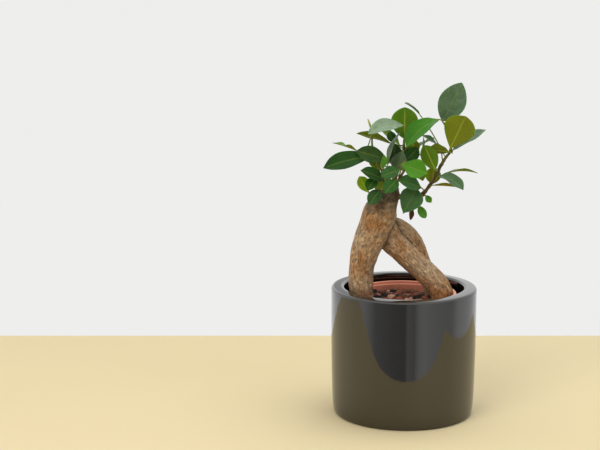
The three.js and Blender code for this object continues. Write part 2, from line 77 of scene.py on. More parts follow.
MM = 0.001
VEIN_STEP = 2.6 * MM      # from one side vein of a leaf to the next
RANDOM_TURN = 6.28        # radians in a random turn
POT_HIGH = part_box("cover_pot")[1]
NURSERY_LOW, NURSERY_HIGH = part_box("nursery_pot")
SOIL_LOW, SOIL_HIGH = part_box("potting_mix")
TRUNK_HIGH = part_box("trunk")[1]
SOIL_LEVEL = SOIL_LOW.z + 62 * MM
LEAVES = sorted(name for name in CAD if name.startswith("leaf_"))
SHOOTS = sorted(name for name in CAD if name.startswith("shoot_"))
BUDS = sorted(name for name in CAD if name.startswith("bud_"))
YOUNG = {"leaf_centre_09", "leaf_front_03", "leaf_left_06", "leaf_left_08", "leaf_low_01",
         "leaf_right_15"}
DRIED = {"leaf_low_02"}
THIN_SIDES, THICK_SIDES = 6, 7      # vertices round a CAD leaf, bud or shoot_low, and round other shoots

# How each leaf differs from the common one. age: 0 old and dark to 1 new and bright. warm: share of
# olive brown. painted_sheen: share of grey sheen painted on the upper side, a painted highlight.
# belly: where the blade is widest, 1 at its middle and more towards the tip. round: smaller is
# fuller. tip: 0 rounded to 1 pointed. wave: height of the wavy margin. twist: turn at the tip, degrees.
LEAF_HABITS = dict(
    leaf_left_01=dict(age=0.12, round=0.7, wave=0.5, tip=0.6),
    leaf_left_02=dict(age=0.08, warm=0.15, tip=0.6),
    leaf_left_03=dict(age=0.85, warm=0.5, wave=1.4, twist=35, round=0.8),
    leaf_left_04=dict(age=0.1, round=0.9, painted_sheen=0.5),
    leaf_left_05=dict(age=0.5, warm=0.4),
    leaf_left_07=dict(age=0.08),
    leaf_left_08=dict(age=0.75),
    leaf_centre_01=dict(age=0.25, round=0.65, painted_sheen=1.0, tip=0.3),
    leaf_centre_02=dict(age=0.15, belly=1.15, round=0.62, tip=0.1),
    leaf_centre_03=dict(age=0.2, warm=0.7),
    leaf_centre_05=dict(age=0.15),
    leaf_centre_06=dict(age=0.08, painted_sheen=0.45),
    leaf_centre_08=dict(age=0.45, warm=0.5),
    leaf_right_02=dict(age=0.65, round=0.75, tip=0.8),
    leaf_right_03=dict(age=0.15, belly=0.95, round=0.76, tip=0.1, painted_sheen=0.38),
    leaf_right_04=dict(age=0.75, warm=0.6, belly=1.3, round=0.7, tip=0.1),
    leaf_right_05=dict(age=0.12, round=0.75, painted_sheen=0.5),
    leaf_right_06=dict(age=0.3, warm=0.5, wave=1.0),
    leaf_right_07=dict(age=0.3, round=0.6, tip=0.2),
    leaf_right_10=dict(age=0.45, belly=0.74, round=0.95, tip=1.0, painted_sheen=0.2),
    leaf_right_11=dict(age=0.3, warm=0.5, painted_sheen=0.7),
    leaf_right_12=dict(age=0.3, painted_sheen=0.3, wave=1.2),
    leaf_right_13=dict(age=0.3, warm=0.8),
    leaf_right_14=dict(age=0.4, warm=0.6),
    leaf_front_03=dict(age=1.0, round=0.85, tip=0.6, belly=1.3, wave=1.2),
    leaf_left_06=dict(age=0.9),
    leaf_low_01=dict(age=0.95, round=0.55, tip=0.1),
    leaf_right_15=dict(age=0.9),
)


# ---- small tools ----
def hex_linear(text):
    """An sRGB hex colour as a linear RGBA tuple."""
    values = [int(text[k:k + 2], 16) / 255 for k in (1, 3, 5)]
    linear = [v / 12.92 if v <= 0.04045 else ((v + 0.055) / 1.055) ** 2.4 for v in values]
    return (*linear, 1.0)


def put(tree, kind, settings=None, sockets=None, ramp=None):
    """Adds a node. A socket is given a value, or the output socket that feeds it."""
    made = tree.nodes.new(kind)
    for key, value in (settings or {}).items():
        setattr(made, key, value)
    for key, value in (sockets or {}).items():
        if isinstance(value, bpy.types.NodeSocket):
            tree.links.new(value, made.inputs[key])
        else:
            made.inputs[key].default_value = value
    if ramp:
        stops = made.color_ramp.elements
        while len(stops) < len(ramp):
            stops.new(0.5)
        for stop, (place, colour) in zip(stops, ramp):
            stop.position = place
            stop.color = colour if isinstance(colour, tuple) else (colour, colour, colour, 1.0)
    return made


def mixed(tree, share, a, b, blend="MIX"):
    """Colour output of a mix of a and b."""
    return put(tree, "ShaderNodeMix", {"data_type": "RGBA", "blend_type": blend},
               {0: share, 6: a, 7: b}).outputs[2]


def sums(tree, operation, a, b=0.0, clamp=False):
    """Output of one step of arithmetic."""
    return put(tree, "ShaderNodeMath", {"operation": operation, "use_clamp": clamp}, {0: a, 1: b}).outputs[0]


def new_material(name):
    """An empty material, its tree and its output node."""
    material = bpy.data.materials.new(name)
    material.use_nodes = True
    material.node_tree.nodes.clear()
    return material, material.node_tree


def finish_material(tree, shader):
    put(tree, "ShaderNodeOutputMaterial", None, {"Surface": shader})


def deselect():
    bpy.ops.object.select_all(action="DESELECT")


def take(piece):
    """Makes piece the only selected and the active object."""
    deselect()
    piece.select_set(True)
    bpy.context.view_layer.objects.active = piece


def apply_modifier(piece, kind, **settings):
    take(piece)
    made = piece.modifiers.new(kind.title(), kind)
    for key, value in settings.items():
        setattr(made, key, value)
    bpy.ops.object.modifier_apply(modifier=made.name)


def tidy_mesh(piece, distance=1e-5):
    """Merges doubles and turns all faces outwards."""
    take(piece)
    bpy.ops.object.mode_set(mode="EDIT")
    bpy.ops.mesh.select_all(action="SELECT")
    bpy.ops.mesh.remove_doubles(threshold=distance)
    bpy.ops.mesh.normals_make_consistent(inside=False)
    bpy.ops.object.mode_set(mode="OBJECT")


def settle(piece, name, slot, material, *nodes, smooth=180):
    """Names a finished piece, gives it its material, puts its place into its mesh and ties it to
    the frame. Edges sharper than `smooth` degrees stay sharp."""
    take(piece)
    bpy.ops.object.transform_apply(location=True, rotation=True, scale=True)
    bpy.ops.object.shade_smooth_by_angle(angle=math.radians(smooth))
    piece.data.materials.append(material)
    piece.name = name
    piece.data.name = name
    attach(piece, "root")
    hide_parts(*nodes)


def smooth_line(points, steps):
    """Points on a smooth curve through the given ones, `steps` to each stretch."""
    p = np.asarray(points, float)
    p = np.vstack([2 * p[0] - p[1], p, 2 * p[-1] - p[-2]])
    out = []
    for k in range(1, len(p) - 2):
        for step in range(steps):
            t = step / steps
            out.append(0.5 * (2 * p[k] + (p[k + 1] - p[k - 1]) * t
                              + (2 * p[k - 1] - 5 * p[k] + 4 * p[k + 1] - p[k + 2]) * t ** 2
                              + (3 * p[k] - p[k - 1] - 3 * p[k + 1] + p[k + 2]) * t ** 3))
    out.append(p[-2])
    return np.array(out)


def spaced(points, count):
    """The same line with `count` evenly spaced points."""
    lengths = line_lengths(points)
    places = np.linspace(0, lengths[-1], count)
    return np.stack([np.interp(places, lengths, points[:, k]) for k in range(points.shape[1])], axis=1)


def arc(r, z, radius, start, end, steps):
    """Outline points of an arc about (r, z), angles in degrees."""
    angles = [math.radians(start + (end - start) * k / steps) for k in range(steps + 1)]
    return [(r + radius * math.cos(a), z + radius * math.sin(a)) for a in angles]


def throw(outline, segments):
    """Draws a disc up and round an outline of (radius, height) in millimetres, as clay is thrown."""
    deselect()
    outline = [(r * MM, z * MM) for r, z in outline]
    radius, height = outline[0]
    bpy.ops.mesh.primitive_circle_add(vertices=segments, radius=radius, fill_type="NGON",
                                      location=(0, 0, height))
    bpy.ops.object.mode_set(mode="EDIT")
    bpy.ops.mesh.select_all(action="SELECT")
    for (r0, z0), (r1, z1) in zip(outline, outline[1:]):
        bpy.ops.mesh.extrude_region_move(TRANSFORM_OT_translate={"value": (0, 0, z1 - z0)})
        bpy.ops.transform.resize(value=(r1 / r0, r1 / r0, 1), center_override=(0, 0, z1))
    bpy.ops.mesh.poke()
    bpy.ops.object.mode_set(mode="OBJECT")
    piece = bpy.context.object
    tidy_mesh(piece)
    return piece


def add_values(piece, name, values):
    """Stores one value or vector for each vertex of piece."""
    values = np.asarray(values, np.float32)
    kind, key = ("FLOAT", "value") if values.ndim == 1 else ("FLOAT_VECTOR", "vector")
    piece.data.attributes.new(name, kind, "POINT").data.foreach_set(key, values.ravel())


def read_vectors(items, key):
    """One vector for each of a mesh's vertices or attribute values."""
    values = np.zeros(len(items) * 3, np.float32)
    items.foreach_get(key, values)
    return values.reshape(-1, 3)


def vertex_places(piece):
    return read_vectors(piece.data.vertices, "co").astype(float)


def unit(vectors):
    """The vectors, one or a row each, at length one."""
    return vectors / np.linalg.norm(vectors, axis=-1, keepdims=True)


def line_lengths(points):
    """Length along a line from its start to each of its points."""
    return np.concatenate([[0], np.cumsum(np.linalg.norm(np.diff(points, axis=0), axis=1))])


def move_vertices(piece, places):
    piece.data.vertices.foreach_set("co", places.astype(np.float32).ravel())
    piece.data.update()


# ---- reading the frame ----
def whole_rings(pole, sides):
    """Rings of vertices met when walking away from an end pole, as long as they are whole."""
    seen, current, rings = {pole}, [pole], []
    while current:
        following = []
        for vertex in current:
            for edge in vertex.link_edges:
                other = edge.other_vert(vertex)
                if other not in seen:
                    seen.add(other)
                    following.append(other)
        if len(following) != sides:
            return rings
        rings.append(np.array([v.co[:] for v in following]))
        current = following
    return rings


def rings_of(name, sides):
    """Rings of a grown CAD piece from its root to its tip."""
    shape = bmesh.new()
    shape.from_mesh(CAD[name].data)
    bmesh.ops.remove_doubles(shape, verts=shape.verts, dist=1e-6)
    best = []
    for pole in shape.verts:
        rings = whole_rings(pole, sides)
        same = len(rings) == len(best) and len(rings) > 0
        if len(rings) > len(best) or (same and np.ptp(rings[0], 0).max() < np.ptp(best[0], 0).max()):
            best = rings
    shape.free()
    return best[::-1]


# ---- settings ----
def length(name, description, default):
    return bpy.props.FloatProperty(name=name, description=description, default=default, min=0.0,
                                   unit="LENGTH", subtype="DISTANCE", precision=5)


def colour(name, description, default):
    return bpy.props.FloatVectorProperty(name=name, description=description, size=4, min=0.0, max=1.0,
                                         subtype="COLOR", default=hex_linear(default))


class BonsaiSizes(bpy.types.PropertyGroup):
    """Sizes of the pots, the soil and the tree's surface."""

    rim_width: length("Rim width", "Width of the cover pot's rim", 13.5 * MM)
    rim_round: length("Rim rounding", "Radius of the cover pot's outer rim edge", 2.6 * MM)
    pot_wall: length("Pot wall", "Thickness of the cover pot's wall below its rim", 7 * MM)
    pot_floor: length("Pot floor", "Thickness of the cover pot's floor", 9 * MM)
    foot_inset: length("Foot inset", "How far the foot stands back from the wall", 5.5 * MM)
    nursery_wall: length("Nursery wall", "Thickness of the plastic pot's wall", 1.3 * MM)
    lip_width: length("Lip width", "Width of the plastic pot's lip", 3 * MM)
    lump_size: length("Lump size", "Usual width of a lump of potting mix", 7.6 * MM)
    bark_voxel: length("Bark detail", "Size of the smallest feature kept on the trunk", 0.8 * MM)
    wrinkle_depth: length("Wrinkle depth", "Depth of the bark's fine wrinkles", 0.42 * MM)
    blade_thickness: length("Blade thickness", "Thickness of a leaf at its midrib", 0.75 * MM)


class BonsaiColours(bpy.types.PropertyGroup):
    """Colours of the pots, the soil, the bark and the leaves."""

    glaze: colour("Glaze", "Black glaze of the cover pot", "#0d0d0f")
    # painted reflection: the red nursery pot mirrored on some lumps, painted as their colour
    plastic: colour("Plastic", "Terracotta plastic of the nursery pot", "#f7a184")
    soil_reflected_red: colour("Red lumps", "Fired clay in the potting mix", "#9a5c48")
    soil_brown: colour("Brown lumps", "Bark humus in the potting mix", "#5e4636")
    soil_grey: colour("Grey lumps", "Pumice in the potting mix", "#3c3a38")
    bark: colour("Bark", "Grey-brown of the trunk's skin", "#ab9274")
    bark_tint: colour("Bark tint", "Orange-brown where the skin is thin", "#9c7046")
    # dark flecks of bark, and also the colour of the painted shade in the creases between the legs
    bark_dark_and_shade: colour("Old bark", "Dark bark at the graft and in the creases", "#3d3128")
    lenticel: colour("Lenticels", "Pale corky marks on the bark", "#d9b88a")
    twig: colour("Twig", "Brown of the woody shoots", "#6b5134")
    twig_green: colour("Green twig", "Olive green of the young shoots", "#66802c")
    leaf_dark: colour("Grown leaf", "Upper side of an old leaf", "#0d3606")
    leaf_mid: colour("Full leaf", "Upper side of a leaf in its first year", "#22600b")
    leaf_bright: colour("New leaf", "Upper side of a new leaf", "#4b8c12")
    # painted sheen: a grey highlight painted on the upper side of some leaves
    painted_leaf_sheen: colour("Leaf bloom", "Grey waxy sheen on the upper side of some leaves", "#8fa58c")
    under: colour("Underside", "Matt underside of a grown leaf", "#446f14")
    under_bright: colour("New underside", "Underside of a new leaf", "#7ea01a")
    olive: colour("Olive", "Brown olive of a leaf turned to the sun", "#7c6d14")
    vein: colour("Midrib", "Pale midrib and stalk", "#a9b84a")
    dried: colour("Dried leaf", "Skin of a dried leaf", "#3b2218")
    floor: colour("Floor", "Pale floor of the studio", "#eadcb4")


# ---- materials ----
def black_glaze(colours):
    """Lead-free gloss glaze over stoneware, fired black: a deep, mirror-like skin that lies a little
    uneven, clouded faintly with brown, and holds a few pinholes and dust specks."""
    material, tree = new_material("black_gloss_glaze")
    place = put(tree, "ShaderNodeTexCoord").outputs["Object"]
    pull = put(tree, "ShaderNodeTexNoise", None, {"Vector": place, "Scale": 28.0, "Detail": 1.0}).outputs["Fac"]
    specks = put(tree, "ShaderNodeTexVoronoi", {"feature": "DISTANCE_TO_EDGE"}, {"Vector": place, "Scale": 90.0})
    dust = put(tree, "ShaderNodeTexNoise", None, {"Vector": place, "Scale": 260.0, "Detail": 3.0}).outputs["Fac"]
    dusty = put(tree, "ShaderNodeValToRGB", None, {"Fac": dust}, [(0.66, 0.0), (0.8, 1.0)]).outputs["Color"]
    clouds = put(tree, "ShaderNodeTexNoise", None, {"Vector": place, "Scale": 9.0, "Detail": 4.0}).outputs["Fac"]
    tint = mixed(tree, clouds, colours.glaze, hex_linear("#17140f"))
    tint = mixed(tree, sums(tree, "MULTIPLY", dusty, 0.12), tint, hex_linear("#6d675c"))
    waves = put(tree, "ShaderNodeBump", None, {"Height": pull, "Strength": 0.05, "Distance": 0.002}).outputs["Normal"]
    pits = put(tree, "ShaderNodeValToRGB", None, {"Fac": specks.outputs["Distance"]},
               [(0.0, 0.0), (0.012, 1.0)]).outputs["Color"]
    rare = put(tree, "ShaderNodeTexNoise", None, {"Vector": place, "Scale": 45.0}).outputs["Fac"]
    chosen = put(tree, "ShaderNodeValToRGB", None, {"Fac": rare}, [(0.7, 0.0), (0.76, 1.0)]).outputs["Color"]
    pits = sums(tree, "SUBTRACT", 1.0, sums(tree, "MULTIPLY", chosen, sums(tree, "SUBTRACT", 1.0, pits)))
    relief = put(tree, "ShaderNodeBump", None, {"Height": pits, "Strength": 0.2, "Distance": 0.0003,
                                                "Normal": waves}).outputs["Normal"]
    rough = put(tree, "ShaderNodeMapRange", None, {"Value": clouds, "To Min": 0.035, "To Max": 0.075})
    rough = sums(tree, "ADD", rough.outputs[0], sums(tree, "MULTIPLY", dusty, 0.25))
    shader = put(tree, "ShaderNodeBsdfPrincipled", None,
                 {"Base Color": tint, "Roughness": rough, "IOR": 1.95, "Normal": relief})
    finish_material(tree, shader.outputs[0])
    return material


def nursery_plastic(colours):
    """Injection-moulded polypropylene, terracotta red: satin, with fine moulding grain. Below the
    bright lip the wall is darker and rougher in patches."""
    material, tree = new_material("terracotta_polypropylene")
    place = put(tree, "ShaderNodeTexCoord").outputs["Object"]
    height = put(tree, "ShaderNodeSeparateXYZ", None, {0: place}).outputs["Z"]
    top = NURSERY_HIGH.z
    # below the lip the plastic turns darker and rougher in patches
    drop = put(tree, "ShaderNodeMapRange", None, {"Value": height, "From Min": top - 9 * MM, "From Max": top - 2 * MM})
    patch_noise = put(tree, "ShaderNodeTexNoise", None, {"Vector": place, "Scale": 70.0, "Detail": 5.0}).outputs["Fac"]
    dull_patches = put(tree, "ShaderNodeValToRGB", None, {"Fac": patch_noise}, [(0.35, 0.35), (0.7, 1.0)]).outputs["Color"]
    dull_patches = sums(tree, "MULTIPLY", dull_patches, sums(tree, "SUBTRACT", 1.0, drop.outputs[0]))
    tint = mixed(tree, sums(tree, "MULTIPLY", dull_patches, 0.75), colours.plastic, hex_linear("#b97f6c"))
    grain = put(tree, "ShaderNodeTexNoise", None, {"Vector": place, "Scale": 900.0}).outputs["Fac"]
    relief = put(tree, "ShaderNodeBump", None, {"Height": grain, "Strength": 0.15, "Distance": 0.0002})
    rough = put(tree, "ShaderNodeMapRange", None, {"Value": dull_patches, "To Min": 0.36, "To Max": 0.75})
    shader = put(tree, "ShaderNodeBsdfPrincipled", None,
                 {"Base Color": tint, "Roughness": rough.outputs[0], "IOR": 1.49, "Normal": relief.outputs[0]})
    finish_material(tree, shader.outputs[0])
    return material


def potting_lumps(colours):
    """Potting mix for bonsai, sieved: pumice and bark humus, dull and porous, each lump of one
    colour, mottled by fine grains; the red lumps are painted reflection of the red nursery pot."""
    material, tree = new_material("sieved_potting_mix")
    place = put(tree, "ShaderNodeTexCoord").outputs["Object"]
    tone = put(tree, "ShaderNodeAttribute", {"attribute_name": "lump"}).outputs["Fac"]
    # the red stop and the two pale red stops at the end are painted reflection of the red nursery pot
    stops = [(0.0, tuple(colours.soil_brown)), (0.34, tuple(colours.soil_reflected_red)), (0.62, tuple(colours.soil_grey)),
             (0.78, hex_linear("#2c2622")), (0.88, hex_linear("#b07c66")), (1.0, hex_linear("#c99a84"))]
    tint = put(tree, "ShaderNodeValToRGB", None, {"Fac": tone}, stops).outputs["Color"]
    grains = put(tree, "ShaderNodeTexNoise", None, {"Vector": place, "Scale": 900.0, "Detail": 4.0}).outputs["Fac"]
    shade = put(tree, "ShaderNodeMapRange", None, {"Value": grains, "From Min": 0.3, "From Max": 0.7,
                                                   "To Min": 0.55, "To Max": 1.3}).outputs[0]
    tint = mixed(tree, 1.0, tint, shade, "MULTIPLY")
    relief = put(tree, "ShaderNodeBump", None, {"Height": grains, "Strength": 0.8, "Distance": 0.0006})
    shader = put(tree, "ShaderNodeBsdfPrincipled", None,
                 {"Base Color": tint, "Roughness": 0.92, "IOR": 1.4, "Normal": relief.outputs[0]})
    finish_material(tree, shader.outputs[0])
    return material


def fig_bark(colours):
    """Bark of a ginseng fig: thin grey-brown skin with fine streaks along the limb, orange tints
    where it is stretched, pale corky lenticels near the foot and rough dark bark at the graft,
    with painted shade darkening the creases where the legs meet."""
    material, tree = new_material("ginseng_fig_bark")
    grain = put(tree, "ShaderNodeAttribute", {"attribute_name": "grain"}).outputs["Vector"]
    crease_and_shade = put(tree, "ShaderNodeAttribute", {"attribute_name": "crease_and_shade"}).outputs["Fac"]
    old = put(tree, "ShaderNodeAttribute", {"attribute_name": "old_bark"}).outputs["Fac"]
    foot = put(tree, "ShaderNodeAttribute", {"attribute_name": "foot"}).outputs["Fac"]

    def stretched(along, scale, detail=3.0, roughness=0.55):
        """Noise whose grains are longer along the limb."""
        place = put(tree, "ShaderNodeMapping", None, {"Vector": grain, "Scale": (1.0, 1.0, along)})
        return put(tree, "ShaderNodeTexNoise", None, {"Vector": place.outputs[0], "Scale": scale, "Detail": detail,
                                                      "Roughness": roughness}).outputs["Fac"]

    patches = stretched(0.6, 55.0, 3.0)
    streaks = stretched(0.3, 640.0, 4.0, 0.7)
    flecks = stretched(0.45, 820.0, 3.0)
    tint = put(tree, "ShaderNodeValToRGB", None, {"Fac": patches},
               [(0.36, tuple(colours.bark_tint)), (0.58, tuple(colours.bark)), (0.74, hex_linear("#b39a78"))])
    tint = tint.outputs["Color"]
    clouds = put(tree, "ShaderNodeMapRange", None, {"Value": stretched(0.8, 260.0, 4.0, 0.7), "From Min": 0.36,
                                                    "From Max": 0.64, "To Min": 0.7, "To Max": 1.3}).outputs[0]
    tint = mixed(tree, 1.0, tint, clouds, "MULTIPLY")
    lines = put(tree, "ShaderNodeMapRange", None, {"Value": streaks, "From Min": 0.34, "From Max": 0.66,
                                                   "To Min": 0.5, "To Max": 1.58}).outputs[0]
    tint = mixed(tree, 1.0, tint, lines, "MULTIPLY")
    dark_dashes = put(tree, "ShaderNodeValToRGB", None, {"Fac": flecks}, [(0.34, 1.0), (0.44, 0.0)]).outputs["Color"]
    tint = mixed(tree, sums(tree, "MULTIPLY", dark_dashes, 0.62), tint, colours.bark_dark_and_shade)
    spots = put(tree, "ShaderNodeMapping", None, {"Vector": grain, "Scale": (1.0, 1.0, 0.6)}).outputs[0]
    spots = put(tree, "ShaderNodeTexVoronoi", None, {"Vector": spots, "Scale": 210.0})
    pale = put(tree, "ShaderNodeValToRGB", None, {"Fac": spots.outputs["Distance"]},
               [(0.12, 1.0), (0.34, 0.0)]).outputs["Color"]
    picked = put(tree, "ShaderNodeSeparateColor", None, {0: spots.outputs["Color"]}).outputs[0]
    picked = sums(tree, "GREATER_THAN", sums(tree, "ADD", picked, sums(tree, "MULTIPLY", foot, 0.7)), 0.9)
    pale = sums(tree, "MULTIPLY", pale, picked)
    tint = mixed(tree, sums(tree, "MULTIPLY", pale, 0.9), tint, colours.lenticel)
    worn = put(tree, "ShaderNodeValToRGB", None, {"Fac": stretched(0.7, 420.0, 4.0, 0.7)},
               [(0.36, hex_linear("#2b2420")), (0.55, hex_linear("#5b4d3e")), (0.72, hex_linear("#8f8069"))])
    tint = mixed(tree, old, tint, worn.outputs["Color"])
    # painted shade: the creases where two legs meet are darkened towards the dark bark colour
    tint = mixed(tree, sums(tree, "MULTIPLY", crease_and_shade, 0.85), tint, colours.bark_dark_and_shade)
    height = sums(tree, "ADD", sums(tree, "MULTIPLY", streaks, 0.8), sums(tree, "MULTIPLY", flecks, 0.5))
    height = sums(tree, "ADD", height, sums(tree, "MULTIPLY", pale, 0.5))
    relief = put(tree, "ShaderNodeBump", None, {"Height": height, "Strength": 0.9, "Distance": 0.0011})
    rough = put(tree, "ShaderNodeMapRange", None, {"Value": streaks, "To Min": 0.55, "To Max": 0.85})
    shader = put(tree, "ShaderNodeBsdfPrincipled", None,
                 {"Base Color": tint, "Roughness": rough.outputs[0], "IOR": 1.45, "Normal": relief.outputs[0]})
    finish_material(tree, shader.outputs[0])
    return material


def twig_bark(colours):
    """Bark of one to three year old fig shoots: woody orange-brown low down, turning olive green
    towards the growing end, with ring scars."""
    material, tree = new_material("young_fig_twig")
    place = put(tree, "ShaderNodeTexCoord").outputs["Object"]
    height = put(tree, "ShaderNodeSeparateXYZ", None, {0: place}).outputs["Z"]
    green = put(tree, "ShaderNodeMapRange", None, {"Value": height, "From Min": TRUNK_HIGH.z + 4 * MM,
                                                   "From Max": TRUNK_HIGH.z + 42 * MM}).outputs[0]
    fine = put(tree, "ShaderNodeTexNoise", None, {"Vector": place, "Scale": 420.0, "Detail": 4.0}).outputs["Fac"]
    broad = put(tree, "ShaderNodeTexNoise", None, {"Vector": place, "Scale": 70.0, "Detail": 2.0}).outputs["Fac"]
    green = sums(tree, "ADD", green, sums(tree, "SUBTRACT", broad, 0.6), True)
    tint = mixed(tree, green, colours.twig, colours.twig_green)
    shade = put(tree, "ShaderNodeMapRange", None, {"Value": fine, "From Min": 0.3, "From Max": 0.7,
                                                   "To Min": 0.6, "To Max": 1.3}).outputs[0]
    tint = mixed(tree, 1.0, tint, shade, "MULTIPLY")
    scar = put(tree, "ShaderNodeAttribute", {"attribute_name": "scar"}).outputs["Fac"]
    tint = mixed(tree, sums(tree, "MULTIPLY", scar, 0.6), tint, hex_linear("#4a3018"))
    relief = put(tree, "ShaderNodeBump", None, {"Height": fine, "Strength": 0.5, "Distance": 0.0004})
    shader = put(tree, "ShaderNodeBsdfPrincipled", None,
                 {"Base Color": tint, "Roughness": 0.55, "IOR": 1.45, "Normal": relief.outputs[0]})
    finish_material(tree, shader.outputs[0])
    return material


def leaf_material(colours, name, dried=False):
    """Fig leaf: leathery and waxed above, with a pale midrib and many close side veins, matt and
    yellower below. Light from behind shines through the blade. Some leaves carry a painted grey
    sheen, a painted highlight, on the upper side."""
    material, tree = new_material(name)
    blade = put(tree, "ShaderNodeSeparateXYZ", None,
                {0: put(tree, "ShaderNodeAttribute", {"attribute_name": "blade"}).outputs["Vector"]})
    across, along = blade.outputs["X"], blade.outputs["Y"]
    habit = put(tree, "ShaderNodeSeparateXYZ", None,
                {0: put(tree, "ShaderNodeAttribute", {"attribute_name": "habit"}).outputs["Vector"]})
    age, warm, chance = habit.outputs["X"], habit.outputs["Y"], habit.outputs["Z"]
    below = put(tree, "ShaderNodeAttribute", {"attribute_name": "underside"}).outputs["Fac"]
    painted_sheen = put(tree, "ShaderNodeAttribute", {"attribute_name": "painted_sheen"}).outputs["Fac"]
    place = put(tree, "ShaderNodeTexCoord").outputs["Object"]
    flat = put(tree, "ShaderNodeSeparateXYZ", None,
               {0: put(tree, "ShaderNodeAttribute", {"attribute_name": "flat"}).outputs["Vector"]})
    distance = sums(tree, "ABSOLUTE", flat.outputs["X"])

    # side veins leave the midrib every 2.6 mm and lean towards the tip
    lean = sums(tree, "SUBTRACT", flat.outputs["Y"], sums(tree, "MULTIPLY", distance, 0.75))
    wander = put(tree, "ShaderNodeTexNoise", None, {"Vector": place, "Scale": 130.0}).outputs["Fac"]
    lean = sums(tree, "ADD", lean, sums(tree, "MULTIPLY", wander, 0.0016))
    wave = sums(tree, "SINE", sums(tree, "MULTIPLY", lean, 2 * math.pi / VEIN_STEP))
    veins = put(tree, "ShaderNodeMapRange", None, {"Value": wave, "From Min": 0.75, "From Max": 1.0}).outputs[0]
    edge = put(tree, "ShaderNodeMapRange", None, {"Value": sums(tree, "ABSOLUTE", across), "From Min": 0.7,
                                                  "From Max": 0.98, "To Min": 1.0, "To Max": 0.0}).outputs[0]
    veins = sums(tree, "MULTIPLY", veins, edge)
    rib = put(tree, "ShaderNodeMapRange", None, {"Value": distance, "From Min": 0.00035, "From Max": 0.0009,
                                                 "To Min": 1.0, "To Max": 0.0}).outputs[0]
    fade = put(tree, "ShaderNodeMapRange", None, {"Value": along, "From Min": 0.75, "From Max": 1.0,
                                                  "To Min": 1.0, "To Max": 0.25}).outputs[0]
    rib = sums(tree, "MULTIPLY", rib, fade)

    mottle = put(tree, "ShaderNodeTexNoise", None, {"Vector": place, "Scale": 160.0, "Detail": 4.0}).outputs["Fac"]
    patch = put(tree, "ShaderNodeTexNoise", None, {"Vector": place, "Scale": 45.0, "Detail": 2.0}).outputs["Fac"]
    drift = sums(tree, "ADD", age, sums(tree, "MULTIPLY", sums(tree, "SUBTRACT", patch, 0.5), 0.35))
    drift = sums(tree, "ADD", drift, sums(tree, "MULTIPLY", sums(tree, "SUBTRACT", mottle, 0.5), 0.2), True)
    if dried:
        tint = mixed(tree, mottle, colours.dried, hex_linear("#5a3a26"))
    else:
        above = put(tree, "ShaderNodeValToRGB", None, {"Fac": drift},
                    [(0.0, tuple(colours.leaf_dark)), (0.5, tuple(colours.leaf_mid)), (1.0, tuple(colours.leaf_bright))])
        # painted sheen: a grey highlight painted over the upper side, by the leaf's share and mottled
        above = mixed(tree, sums(tree, "MULTIPLY", painted_sheen, sums(tree, "ADD", 0.35, mottle)), above.outputs["Color"],
                      colours.painted_leaf_sheen)
        beneath = mixed(tree, drift, colours.under, colours.under_bright)
        tint = mixed(tree, below, above, beneath)
        tint = mixed(tree, sums(tree, "MULTIPLY", warm, sums(tree, "ADD", 0.35, sums(tree, "MULTIPLY", below, 0.5))),
                     tint, colours.olive)
    value = put(tree, "ShaderNodeMapRange", None, {"Value": chance, "To Min": 0.88, "To Max": 1.12}).outputs[0]
    tint = mixed(tree, 1.0, tint, value, "MULTIPLY")
    pale = mixed(tree, 0.5, tint, colours.vein)
    rib_share = sums(tree, "MULTIPLY", rib, sums(tree, "ADD", 0.14, sums(tree, "MULTIPLY", below, 0.38)))
    if not dried:
        tint = mixed(tree, sums(tree, "MULTIPLY", veins, 0.22), tint, pale)
        tint = mixed(tree, rib_share, tint, colours.vein)
        stalk = put(tree, "ShaderNodeMapRange", None, {"Value": along, "From Min": 0.0, "From Max": 0.04,
                                                       "To Min": 1.0, "To Max": 0.0}).outputs[0]
        tint = mixed(tree, sums(tree, "MULTIPLY", stalk, 0.8), tint, hex_linear("#84872f"))
    raised = sums(tree, "SUBTRACT", sums(tree, "MULTIPLY", below, 2.0), 1.0)
    height = sums(tree, "MULTIPLY", sums(tree, "ADD", sums(tree, "MULTIPLY", veins, 0.6), rib), raised)
    height = sums(tree, "ADD", height, sums(tree, "MULTIPLY", mottle, 0.8))
    relief = put(tree, "ShaderNodeBump", None, {"Height": height, "Strength": 0.35, "Distance": 0.0004})
    rough = sums(tree, "ADD", 0.30, sums(tree, "MULTIPLY", below, 0.22))
    rough = sums(tree, "ADD", rough, sums(tree, "MULTIPLY", mottle, 0.12))
    if dried:
        rough = sums(tree, "ADD", rough, 0.3)
    shader = put(tree, "ShaderNodeBsdfPrincipled", None,
                 {"Base Color": tint, "Roughness": rough, "IOR": 1.3, "Normal": relief.outputs[0],
                  "Subsurface Weight": 0.0 if dried else 0.35, "Subsurface Radius": (0.5, 1.0, 0.12),
                  "Subsurface Scale": 0.0012})
    finish_material(tree, shader.outputs[0])
    return material


